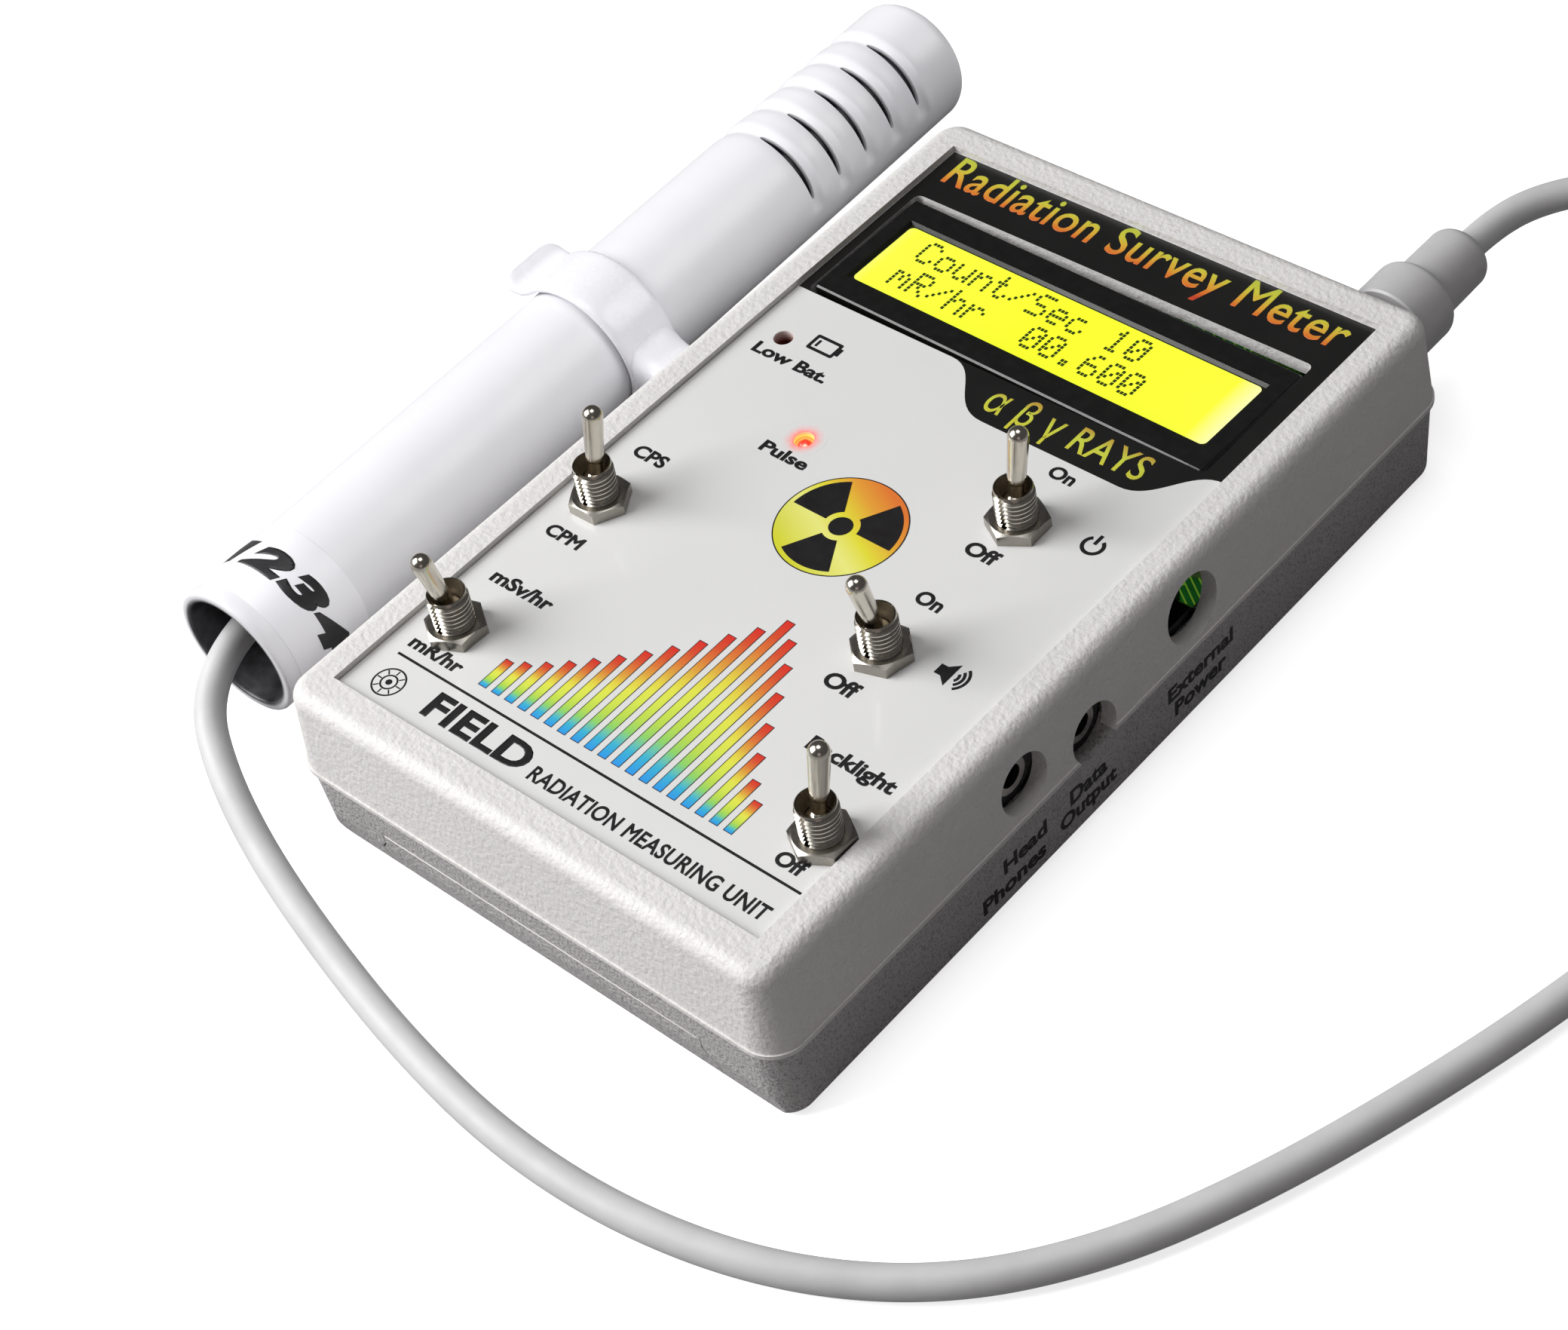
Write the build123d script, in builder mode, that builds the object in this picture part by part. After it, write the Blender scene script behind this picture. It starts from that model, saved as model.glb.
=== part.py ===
"""Hand-held geiger counter: a two-shell moulded case with a character display, five toggle
switches and a side clip that holds a wand probe on its lead.

Millimetres. The origin is the centre of the case's underside, +X across its width, +Y along
its length to the display end, +Z up out of the face panel.
"""

import os
from math import cos, pi, radians, sin, tan

from build123d import *

os.makedirs("parts", exist_ok=True)

# ---------------------------------------------------------------- driving dimensions
# Case
case_width = 90.0
case_length = 145.0
case_corner = 5.0
parting_z = 14.2
rim_z = 29.0
label_z = 28.0
wall = 2.5
rim_round = 2.3
base_round = 2.0
top_draft = 5.0
base_draft = 3.0
base_inset = 0.3
bead_out = 0.2
bead_height = 0.7
floor_thickness = 2.5
inner_width = 81.8
inner_length = 136.6
lip_width = 84.5
lip_length = 139.5
lip_height = 1.2
front_band_z = 5.4
front_band_depth = 1.3

# Face label, which lies in a recess of the top shell
label_width = 77.2
label_length = 131.2
label_thickness = 0.25
label_gap = 0.1
panel_thickness = 2.0
recess_z = label_z - label_thickness
panel_under_z = recess_z - panel_thickness

# Display module, set a little askew and pushed forwards in its window
window_x = -0.9
window_y = 42.1
window_width = 72.0
window_length = 25.4
window_corner = 1.0
lcd_x = -0.9
lcd_y = 41.6
lcd_turn = -1.0
bezel_width = 71.3
bezel_length = 23.0
bezel_sheet = 0.6
lit_width = 65.2
lit_length = 14.0
lcd_pcb_width = 80.0
lcd_pcb_length = 36.0
lcd_pcb_z = 18.8
board_thickness = 1.6

# Toggle switches: name, place, the side to which the lever leans, and how its nut is turned
switches = [
    ("cps", -31.9, -20.3, 1, 1.0),
    ("dose", -31.5, -49.3, -1, 26.5),
    ("power", 20.1, 7.9, 1, 31.5),
    ("sound", 20.0, -20.4, -1, 17.0),
    ("light", 34.5, -48.9, 1, 30.0),
]
bushing_radius = 2.95
bushing_top_z = 35.4
bushing_bore = 2.0
mouth_radius = 2.6
mouth_throat = 1.8
mouth_depth = 2.4
thread_pitch = 0.75
thread_depth = 0.4
keyway_width = 0.9
keyway_depth = 0.55
nut_flats = 8.0
nut_height = 1.9
pivot_z = 32.0
pivot_radius = 1.95
lever_lean = 12.0
lever_length = 12.4
lever_tip_radius = 1.5
lever_foot_radius = 1.3
lever_stem_radius = 1.05
lever_step = 3.7
tail_radius = 0.8
tail_length = 4.6
switch_body_width = 8.0
switch_body_length = 13.0
switch_body_height = 9.7
terminal_height = 3.4

# Indicator lamps: name, x, y and the height of the dome's top
lamps = [("low_battery_lamp", -32.8, 19.4, 26.3), ("pulse_lamp", -16.0, 4.8, 27.7)]
lamp_radius = 1.5
lamp_flange = 4.3

# Main board
board_z = 12.3
board_width = 80.0
board_front_y = -28.0
board_back_y = 68.0
board_top_z = board_z + board_thickness

# Side holes of the jacks: y, z and radius, and the rear hole of the probe's socket
power_hole = (13.6, 20.9, 5.3)
data_hole = (-8.5, 16.9, 4.5)
phone_hole = (-22.5, 19.9, 4.55)
socket_x = 34.6
socket_z = 21.1
socket_hole_radius = 4.6
socket_barrel_radius = 4.5
plug_shell_radius = 3.6
grip_radius = 6.65
grip_length = 8.2
neck_radius = 5.05
neck_length = 11.4
plug_face_y = case_length / 2 + bead_out

# Battery and its sliding door
battery_width = 46.2
battery_depth = 26.0
battery_height = 17.4
battery_y = -55.1
door_half = 28.9
door_tongue = 1.5
door_plate = 1.7
door_tongue_z = 0.9
door_back_y = -42.2
door_front_thickness = 2.0
door_top_z = 8.4
door_foot_half = 31.2
door_foot_z = 4.3
door_shoulder_half = 29.8
door_shoulder_z = 6.1
door_top_half = 29.7
door_gap = 0.15
door_grooves = 5
door_groove_pitch = 2.4

# Screws and pillars
case_screws_at = [(-37.0, -64.8), (37.0, -64.8), (-21.0, 64.8), (21.0, 64.8)]
board_screws_at = [(-20.0, -23.0), (30.5, -15.5), (30.5, 22.8), (-26.0, 22.0), (-33.0, 63.0)]
boss_radius = 3.4
case_screw_radius = 1.45
board_screw_radius = 1.4
screw_gap = 0.05

# Wand, turned a little from the case's long axis, and its spring clip
wand_radius = 10.67
wand_bore = 9.07
wand_length = 158.0
wand_z = 14.83
wand_near_x = -67.24
wand_near_y = -63.6
wand_turn = 1.77
slot_first = 119.0
slot_pitch = 6.7
slot_count = 5
slot_width = 1.1
slot_from = 8.0
slot_to = 86.0
clip_station = 78.3
clip_width = 10.4
clip_gap = 0.3
clip_thickness = 1.4
clip_open = 52.0
clip_screw_radius = 1.2
clip_face_x = -case_width / 2 - bead_out - 0.05
tube_radius = 4.6
tube_length = 40.0
tube_station = 111.0
gland_station = 10.5
gland_length = 9.0
end_cap_length = 4.0
end_cap_round = 2.8
cord_exit = (-3.4, -0.4)

# Probe lead: the corners of its route, from outside the wand's open end to the plug. The two
# corners inside the wand follow from cord_exit, its place on the gland's face.
cord_radius = 2.35
cord_route = [
    (-67.4, -70.9, 10.8),
    (-58.3, -76.9, 7.0),
    (-44.7, -82.4, 3.8),
    (-26.9, -87.6, 2.35),
    (-6.0, -92.7, 2.35),
    (16.0, -95.9, 2.35),
    (38.0, -94.9, 2.35),
    (58.5, -89.3, 2.35),
    (75.6, -78.7, 2.35),
    (88.2, -63.5, 2.35),
    (97.3, -45.0, 2.35),
    (104.4, -25.3, 2.35),
    (110.4, -5.2, 2.35),
    (115.2, 17.0, 2.35),
    (118.4, 41.0, 2.35),
    (119.2, 66.0, 2.35),
    (115.8, 90.5, 2.35),
    (107.0, 112.0, 2.35),
    (92.0, 128.0, 5.2),
    (73.0, 133.5, 11.2),
    (57.5, 127.5, 17.2),
    (45.5, 117.5, 20.8),
    (37.8, 108.4, 21.3),
    (34.6, 99.6, socket_z),
    (34.6, plug_face_y + grip_length + neck_length, socket_z),
]


# ---------------------------------------------------------------- shared shapes
def wand_plane(station):
    """The plane across the wand at a distance from its open end, facing that end."""
    turn = radians(wand_turn)
    along = (-sin(turn), cos(turn), 0)
    origin = (wand_near_x + along[0] * station, wand_near_y + along[1] * station, wand_z)
    return Plane(origin=origin, x_dir=(cos(turn), sin(turn), 0), z_dir=(sin(turn), -cos(turn), 0))


def clip_screw_plane(reach):
    """The plane across the clip's screw, at a distance from the wand's axis towards the case."""
    turn = radians(wand_turn)
    centre = wand_plane(clip_station).origin
    toward_case = (cos(turn), sin(turn), 0)
    return Plane(origin=centre + Vector(*toward_case) * reach, x_dir=(0, 0, 1), z_dir=toward_case)


def clip_screw_hole():
    """Cuts the hole of the clip's screw through the left wall of the part being built."""
    with BuildSketch(clip_screw_plane(wand_radius + 10)) as hole:
        Circle(clip_screw_radius + screw_gap)
    extrude(hole.sketch, amount=12, mode=Mode.SUBTRACT)


def lcd_plane(height):
    """The display module's own plane at a height, turned with the module."""
    turn = radians(lcd_turn)
    return Plane(origin=(lcd_x, lcd_y, height), x_dir=(cos(turn), sin(turn), 0), z_dir=(0, 0, 1))


def lower_block():
    """Adds the solid outline of the lower shell: drafted sides, a stepped front and a round base."""
    with BuildSketch(Plane.XY.offset(parting_z)) as outline:
        RectangleRounded(
            case_width - 2 * base_inset, case_length - 2 * base_inset, case_corner - base_inset
        )
    block = extrude(outline.sketch, amount=-parting_z, taper=base_draft)
    fillet(block.faces().sort_by(Axis.Z)[0].edges(), base_round)
    front_y = -case_length / 2 + base_inset + (parting_z - front_band_z) * tan(radians(base_draft))
    with BuildSketch(Plane.YZ.offset(-case_width / 2)) as band:
        with BuildLine():
            Polyline(
                (front_y - 3, front_band_z),
                (front_y, front_band_z),
                (front_y + front_band_depth, 0),
                (front_y + front_band_depth, -1),
                (front_y - 3, -1),
                close=True,
            )
        make_face()
    extrude(band.sketch, amount=case_width, mode=Mode.SUBTRACT)


def door_outline(gap):
    """The corners of the door's front end, let out by a gap."""
    right = [
        (door_foot_half + gap, -1),
        (door_foot_half + gap, door_foot_z + gap),
        (door_shoulder_half + gap, door_shoulder_z + gap),
        (door_top_half + gap, door_top_z + gap),
    ]
    return [*right, *[(-x, z) for x, z in reversed(right)]]


def side_holes(first_x):
    """Cuts the three jack holes through the right wall, from first_x outwards."""
    with BuildSketch(Plane.YZ.offset(first_x)) as holes:
        for y, z, radius in (power_hole, data_hole, phone_hole):
            with Locations((y, z)):
                Circle(radius)
    extrude(holes.sketch, amount=case_width / 2 + 2 - first_x, mode=Mode.SUBTRACT)


# ---------------------------------------------------------------- case
with BuildPart() as top_case:
    with BuildSketch(Plane.XY.offset(parting_z)):
        RectangleRounded(case_width, case_length, case_corner)
    extrude(amount=rim_z - parting_z, taper=top_draft)
    fillet(top_case.faces().sort_by(Axis.Z)[-1].edges(), rim_round)
    with BuildSketch(Plane.XY.offset(parting_z)):
        RectangleRounded(
            case_width + 2 * bead_out, case_length + 2 * bead_out, case_corner + bead_out
        )
    extrude(amount=bead_height)
    with BuildSketch(Plane.XY.offset(parting_z)):
        RectangleRounded(case_width - 2 * wall, case_length - 2 * wall, case_corner - 2)
    extrude(amount=panel_under_z - parting_z, taper=top_draft, mode=Mode.SUBTRACT)
    with BuildSketch(Plane.XY.offset(recess_z)):
        Rectangle(label_width + 2 * label_gap, label_length + 2 * label_gap)
    extrude(amount=rim_z - recess_z, mode=Mode.SUBTRACT)
    with BuildSketch(Plane.XY.offset(parting_z)):
        with Locations(*case_screws_at):
            Circle(boss_radius)
    extrude(amount=panel_under_z - parting_z + panel_thickness / 2)
    with BuildSketch(Plane.XY.offset(parting_z)):
        with Locations(*case_screws_at):
            Circle(case_screw_radius + screw_gap)
    extrude(amount=8, mode=Mode.SUBTRACT)
    with BuildSketch(Plane.XY.offset(panel_under_z - 1)):
        for name, x, y, side, turn in switches:
            with Locations((x, y)):
                Circle(bushing_radius + 0.1)
        for name, x, y, top in lamps:
            with Locations((x, y)):
                Circle(lamp_radius + 0.1)
        with Locations((window_x, window_y)):
            RectangleRounded(window_width, window_length, window_corner)
    extrude(amount=panel_thickness + 3, mode=Mode.SUBTRACT)
    side_holes(case_width / 2 - 5)
    clip_screw_hole()
    with BuildSketch(Plane.XZ.offset(-case_length / 2 + 5)):
        with Locations((socket_x, socket_z)):
            Circle(socket_hole_radius)
    extrude(amount=-8, mode=Mode.SUBTRACT)
top_case.part.label = "top_case"
export_step(top_case.part, "parts/top_case.step")

with BuildPart() as bottom_case:
    lower_block()
    with BuildSketch(Plane.XY.offset(floor_thickness)):
        RectangleRounded(inner_width, inner_length, 2.0)
    extrude(amount=parting_z, mode=Mode.SUBTRACT)
    # Lip that locates the top shell
    with BuildSketch(Plane.XY.offset(parting_z - 0.5)):
        RectangleRounded(lip_width, lip_length, 2.8)
        RectangleRounded(inner_width, inner_length, 2.0, mode=Mode.SUBTRACT)
    extrude(amount=lip_height + 0.5)
    # Screw bosses, board pillars and the wall behind the battery
    with BuildSketch(Plane.XY.offset(floor_thickness - 0.5)):
        with Locations(*case_screws_at):
            Circle(boss_radius)
    extrude(amount=parting_z - floor_thickness + 0.5)
    with BuildSketch(Plane.XY.offset(floor_thickness - 0.5)):
        with Locations((0, door_back_y + 1.2)):
            Rectangle(inner_width + 1, 1.5)
    extrude(amount=parting_z - floor_thickness - 2)
    with BuildSketch():
        with Locations(*case_screws_at):
            Circle(case_screw_radius + screw_gap)
    extrude(amount=parting_z, mode=Mode.SUBTRACT)
    with BuildSketch():
        with Locations(*case_screws_at):
            Circle(3.0)
    extrude(amount=2.6, mode=Mode.SUBTRACT)
    side_holes(case_width / 2 - 5)
    clip_screw_hole()
    # Opening of the battery door: the mouth, the groove of its tongues and its front notch
    with BuildSketch(Plane.XZ.offset(-door_back_y - door_gap)):
        Rectangle(2 * (door_half - door_tongue), 3 * floor_thickness)
        Rectangle(2 * (door_half + door_gap), 2 * (door_tongue_z - door_gap))
        with Locations((0, (door_tongue_z + door_plate) / 2)):
            Rectangle(
                2 * (door_half + door_tongue + door_gap), door_plate - door_tongue_z + 2 * door_gap
            )
    extrude(amount=case_length / 2 + door_back_y, mode=Mode.SUBTRACT)
    with BuildSketch(Plane.XZ.offset(inner_length / 2 - 1)) as notch:
        with BuildLine():
            Polyline(*door_outline(door_gap), close=True)
        make_face()
    extrude(amount=8, mode=Mode.SUBTRACT)
bottom_case.part.label = "bottom_case"
export_step(bottom_case.part, "parts/bottom_case.step")

with BuildPart() as battery_door:
    lower_block()
    with BuildSketch(Plane.XZ.offset(-door_back_y)):
        with BuildLine():
            Polyline(*door_outline(0), close=True)
        make_face()
    extrude(amount=case_length / 2, mode=Mode.INTERSECT)
    plate_front_y = -case_length / 2 + base_inset + door_front_thickness
    with BuildSketch(Plane.XZ.offset(-door_back_y)):
        with Locations((0, door_plate + 10)):
            Rectangle(80, 20)
        for side in (-1, 1):
            with Locations((side * (door_half + 10), door_tongue_z / 2 - 1)):
                Rectangle(20, door_tongue_z + 2)
            with Locations((side * (door_half + door_tongue + 10), door_plate / 2)):
                Rectangle(20, door_plate + 1)
    extrude(amount=door_back_y - plate_front_y, mode=Mode.SUBTRACT)
    # Grip grooves under the door
    with BuildSketch():
        with Locations((0, -60)):
            with GridLocations(0, door_groove_pitch, 1, door_grooves):
                SlotOverall(22, 1.2)
    extrude(amount=0.5, mode=Mode.SUBTRACT)
battery_door.part.label = "battery_door"
export_step(battery_door.part, "parts/battery_door.step")

with BuildPart() as case_screws:
    with BuildSketch(Plane.XY.offset(0.6)):
        with Locations(*case_screws_at):
            Circle(2.8)
    extrude(amount=2.0)
    with BuildSketch(Plane.XY.offset(0.6)):
        with Locations(*case_screws_at):
            Circle(case_screw_radius)
    extrude(amount=19)
    with BuildSketch(Plane.XY.offset(0.6)):
        with Locations(*case_screws_at):
            Rectangle(3.4, 0.7)
            Rectangle(0.7, 3.4)
    extrude(amount=1.1, mode=Mode.SUBTRACT)
case_screws.part.label = "case_screws"
export_step(case_screws.part, "parts/case_screws.step")

with BuildPart() as face_label:
    with BuildSketch(Plane.XY.offset(recess_z)):
        Rectangle(label_width, label_length)
        for name, x, y, side, turn in switches:
            with Locations((x, y)):
                Circle(bushing_radius + 0.1, mode=Mode.SUBTRACT)
        for name, x, y, top in lamps:
            with Locations((x, y)):
                Circle(lamp_radius + 0.05, mode=Mode.SUBTRACT)
        with Locations((window_x, window_y)):
            RectangleRounded(window_width, window_length, window_corner, mode=Mode.SUBTRACT)
    extrude(amount=label_thickness)
face_label.part.label = "face_label"
export_step(face_label.part, "parts/face_label.step")

# ---------------------------------------------------------------- display module
lcd_board_top = lcd_pcb_z + board_thickness
glass_top_z = label_z - bezel_sheet
glass_thickness = 1.9

with BuildPart() as lcd_bezel:
    with BuildSketch(lcd_plane(lcd_board_top)):
        Rectangle(bezel_width, bezel_length)
    extrude(amount=label_z - lcd_board_top)
    fillet(lcd_bezel.edges().filter_by(Axis.Z), 0.5)
    chamfer(lcd_bezel.faces().sort_by(Axis.Z)[-1].edges(), 0.25)
    with BuildSketch(lcd_plane(lcd_board_top)):
        Rectangle(bezel_width - 2 * bezel_sheet, bezel_length - 2 * bezel_sheet)
    extrude(amount=glass_top_z - lcd_board_top, mode=Mode.SUBTRACT)
    with BuildSketch(lcd_plane(label_z)):
        Rectangle(lit_width + 0.8, lit_length + 0.8)
    with BuildSketch(lcd_plane(glass_top_z)):
        Rectangle(lit_width, lit_length)
    loft(mode=Mode.SUBTRACT)
lcd_bezel.part.label = "lcd_bezel"
export_step(lcd_bezel.part, "parts/lcd_bezel.step")

with BuildPart() as lcd_glass:
    with BuildSketch(lcd_plane(glass_top_z - glass_thickness)):
        Rectangle(bezel_width - 2.4, bezel_length - 2.4)
    extrude(amount=glass_thickness)
lcd_glass.part.label = "lcd_glass"
export_step(lcd_glass.part, "parts/lcd_glass.step")

with BuildPart() as lcd_backlight:
    with BuildSketch(lcd_plane(lcd_board_top)):
        Rectangle(bezel_width - 2.4, bezel_length - 2.4)
    extrude(amount=glass_top_z - glass_thickness - lcd_board_top)
lcd_backlight.part.label = "lcd_backlight"
export_step(lcd_backlight.part, "parts/lcd_backlight.step")

spacer_x = lcd_pcb_width / 2 - 2.6
spacer_y = lcd_pcb_length / 2 - 2.6
spacer_at = [(right * spacer_x, back * spacer_y) for right in (-1, 1) for back in (-1, 1)]

with BuildPart() as lcd_pcb:
    with BuildSketch(lcd_plane(lcd_pcb_z)):
        Rectangle(lcd_pcb_width, lcd_pcb_length)
        with Locations(*spacer_at):
            Circle(1.25, mode=Mode.SUBTRACT)
    extrude(amount=board_thickness)
lcd_pcb.part.label = "lcd_pcb"
export_step(lcd_pcb.part, "parts/lcd_pcb.step")

with BuildPart() as lcd_spacers:
    with BuildSketch(lcd_plane(board_top_z)):
        with Locations(*spacer_at):
            Circle(2.2)
            Circle(1.25, mode=Mode.SUBTRACT)
    extrude(amount=lcd_pcb_z - board_top_z)
lcd_spacers.part.label = "lcd_spacers"
export_step(lcd_spacers.part, "parts/lcd_spacers.step")

# ---------------------------------------------------------------- toggle switches
thread_from_z = panel_under_z + 0.6
thread_turns = int((bushing_top_z - 0.5 - thread_from_z) / thread_pitch)
thread_points = []
for ring in range(thread_turns):
    ring_z = thread_from_z + ring * thread_pitch
    thread_points.append((bushing_radius - thread_depth, ring_z))
    thread_points.append((bushing_radius, ring_z + thread_pitch * 0.4))
    thread_points.append((bushing_radius, ring_z + thread_pitch * 0.6))
bushing_profile = [
    (bushing_bore, panel_under_z),
    (bushing_radius - thread_depth, panel_under_z),
    *thread_points,
    (bushing_radius - thread_depth, thread_from_z + thread_turns * thread_pitch),
    (bushing_radius - 0.15, bushing_top_z - 0.2),
    (bushing_radius - 0.25, bushing_top_z),
    (mouth_radius, bushing_top_z),
    (mouth_throat, bushing_top_z - mouth_depth),
    (bushing_bore, bushing_top_z - mouth_depth - 0.2),
]
tip_from = lever_length - lever_tip_radius

for name, x, y, side, turn in switches:
    axis_plane = Plane(origin=(x, y, 0), x_dir=(1, 0, 0), z_dir=(0, -1, 0))

    with BuildPart() as bushing:
        with BuildSketch(axis_plane):
            with BuildLine():
                Polyline(*bushing_profile, close=True)
            make_face()
        revolve(axis=Axis((x, y, 0), (0, 0, 1)))
        with BuildSketch(Plane.XY.offset(thread_from_z)):
            with Locations((x, y - bushing_radius)):
                Rectangle(keyway_width, 2 * keyway_depth)
        extrude(amount=bushing_top_z, mode=Mode.SUBTRACT)
    bushing.part.label = f"bushing_{name}"
    export_step(bushing.part, f"parts/bushing_{name}.step")

    with BuildPart() as switch_body:
        with BuildSketch(Plane.XY.offset(panel_under_z - switch_body_height)):
            with Locations((x, y)):
                Rectangle(switch_body_width, switch_body_length)
        extrude(amount=switch_body_height)
        fillet(switch_body.edges().filter_by(Axis.Z), 0.5)
        with BuildSketch(Plane.XY.offset(panel_under_z)):
            with Locations((x, y)):
                Circle(bushing_bore)
        extrude(amount=-4.0, mode=Mode.SUBTRACT)
        with BuildSketch(Plane.XY.offset(panel_under_z - switch_body_height)):
            with Locations((x, y)):
                with GridLocations(0, 4.7, 1, 3):
                    Rectangle(2.2, 0.8)
        extrude(amount=-terminal_height)
    switch_body.part.label = f"switch_body_{name}"
    export_step(switch_body.part, f"parts/switch_body_{name}.step")

    # The lever's profile is drawn in the plane that leans with it, about its pivot
    lean = radians(lever_lean) * side
    lever_plane = Plane(origin=(x, y, pivot_z), x_dir=(1, 0, 0), z_dir=(0, -cos(lean), sin(lean)))
    with BuildPart() as lever:
        with BuildSketch(lever_plane):
            with BuildLine():
                tail = Polyline(
                    (0, -tail_length),
                    (tail_radius, -tail_length),
                    (tail_radius, -((pivot_radius**2 - tail_radius**2) ** 0.5)),
                )
                ball = ThreePointArc(
                    tail @ 1,
                    (pivot_radius, 0),
                    (lever_stem_radius, (pivot_radius**2 - lever_stem_radius**2) ** 0.5),
                )
                shaft = Polyline(
                    ball @ 1,
                    (lever_stem_radius, lever_step - 0.3),
                    (lever_foot_radius - 0.1, lever_step),
                    (lever_foot_radius, lever_step + 0.3),
                    (lever_tip_radius, tip_from),
                )
                tip = ThreePointArc(
                    shaft @ 1,
                    (lever_tip_radius * cos(pi / 4), tip_from + lever_tip_radius * sin(pi / 4)),
                    (0, lever_length),
                )
                Line(tip @ 1, tail @ 0)
            make_face()
        revolve(axis=Axis((x, y, pivot_z), (0, sin(lean), cos(lean))))
    lever.part.label = f"lever_{name}"
    export_step(lever.part, f"parts/lever_{name}.step")

with BuildPart() as switch_nuts:
    for name, x, y, side, turn in switches:
        with BuildSketch(Plane.XY.offset(label_z)) as hexagon:
            with Locations((x, y)):
                RegularPolygon(nut_flats / 2, 6, major_radius=False, rotation=turn)
                Circle(bushing_radius + 0.03, mode=Mode.SUBTRACT)
        extrude(hexagon.sketch, amount=nut_height)
    # The corners are turned off to a cone above and below
    for name, x, y, side, turn in switches:
        with BuildSketch(Plane(origin=(x, y, 0), x_dir=(1, 0, 0), z_dir=(0, -1, 0))) as corners:
            with BuildLine():
                Polyline(
                    (nut_flats / 2 - 0.15, label_z + nut_height),
                    (nut_flats / 2 + 0.85, label_z + nut_height - 0.55),
                    (nut_flats / 2 + 0.85, label_z + nut_height + 1),
                    (nut_flats / 2 - 0.15, label_z + nut_height + 1),
                    close=True,
                )
            make_face()
        revolve(corners.sketch, axis=Axis((x, y, 0), (0, 0, 1)), mode=Mode.SUBTRACT)
switch_nuts.part.label = "switch_nuts"
export_step(switch_nuts.part, "parts/switch_nuts.step")

# ---------------------------------------------------------------- indicator lamps
for name, x, y, top in lamps:
    with BuildPart() as lamp:
        with BuildSketch(Plane(origin=(x, y, 0), x_dir=(1, 0, 0), z_dir=(0, -1, 0))):
            with BuildLine():
                Polyline(
                    (0, top - lamp_radius),
                    (0, top - 4.4),
                    (lamp_radius + 0.4, top - 4.4),
                    (lamp_radius + 0.4, top - 3.4),
                    (lamp_radius, top - 3.4),
                    (lamp_radius, top - lamp_radius),
                )
                ThreePointArc(
                    (lamp_radius, top - lamp_radius),
                    (lamp_radius * cos(pi / 4), top - lamp_radius + lamp_radius * sin(pi / 4)),
                    (0, top),
                )
                Line((0, top), (0, top - lamp_radius))
            make_face()
        revolve(axis=Axis((x, y, 0), (0, 0, 1)))
        with BuildSketch(Plane.XY.offset(board_top_z)):
            with Locations((x, y)):
                with GridLocations(2.54, 0, 2, 1):
                    Rectangle(0.5, 0.5)
        extrude(amount=top - lamp_flange - board_top_z)
    lamp.part.label = name
    export_step(lamp.part, f"parts/{name}.step")

# ---------------------------------------------------------------- boards and parts inside
with BuildPart() as main_pcb:
    with BuildSketch(Plane.XY.offset(board_z)):
        with Locations((0, (board_front_y + board_back_y) / 2)):
            Rectangle(board_width, board_back_y - board_front_y)
        # Notches that clear the switches, holes round the case bosses and for its screws
        with Locations((-33.0, -5.0)):
            Rectangle(14.0, 46.0, mode=Mode.SUBTRACT)
        with Locations((20.1, -6.5)):
            Rectangle(9.6, 43.0, mode=Mode.SUBTRACT)
        with Locations(*case_screws_at):
            Circle(boss_radius + 0.8, mode=Mode.SUBTRACT)
        with Locations(*board_screws_at):
            Circle(board_screw_radius + screw_gap, mode=Mode.SUBTRACT)
    extrude(amount=board_thickness)
main_pcb.part.label = "main_pcb"
export_step(main_pcb.part, "parts/main_pcb.step")

with BuildPart() as board_pillars:
    with BuildSketch(Plane.XY.offset(floor_thickness)):
        with Locations(*board_screws_at):
            Circle(2.8)
            Circle(board_screw_radius + screw_gap, mode=Mode.SUBTRACT)
    extrude(amount=board_z - floor_thickness)
board_pillars.part.label = "board_pillars"
export_step(board_pillars.part, "parts/board_pillars.step")

with BuildPart() as board_screws:
    with BuildSketch(Plane.XY.offset(board_top_z)):
        with Locations(*board_screws_at):
            Circle(2.5)
    extrude(amount=1.5)
    with BuildSketch(Plane.XY.offset(board_top_z)):
        with Locations(*board_screws_at):
            Circle(board_screw_radius)
    extrude(amount=-7)
    with BuildSketch(Plane.XY.offset(board_top_z + 1.5)):
        with Locations(*board_screws_at):
            Rectangle(3.0, 0.6)
            Rectangle(0.6, 3.0)
    extrude(amount=-0.9, mode=Mode.SUBTRACT)
board_screws.part.label = "board_screws"
export_step(board_screws.part, "parts/board_screws.step")

with BuildPart() as microcontroller:
    with BuildSketch(Plane.XY.offset(board_top_z + 0.6)):
        with Locations((1.5, -4.0)):
            Rectangle(22.8, 6.4)
    extrude(amount=3.2)
    chamfer(microcontroller.faces().sort_by(Axis.Z)[-1].edges(), 0.3)
    with BuildSketch(Plane.XY.offset(board_top_z)):
        with Locations((1.5, -4.0)):
            with GridLocations(2.54, 7.4, 9, 2):
                Rectangle(1.2, 1.0)
    extrude(amount=2.2)
microcontroller.part.label = "microcontroller"
export_step(microcontroller.part, "parts/microcontroller.step")

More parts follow.
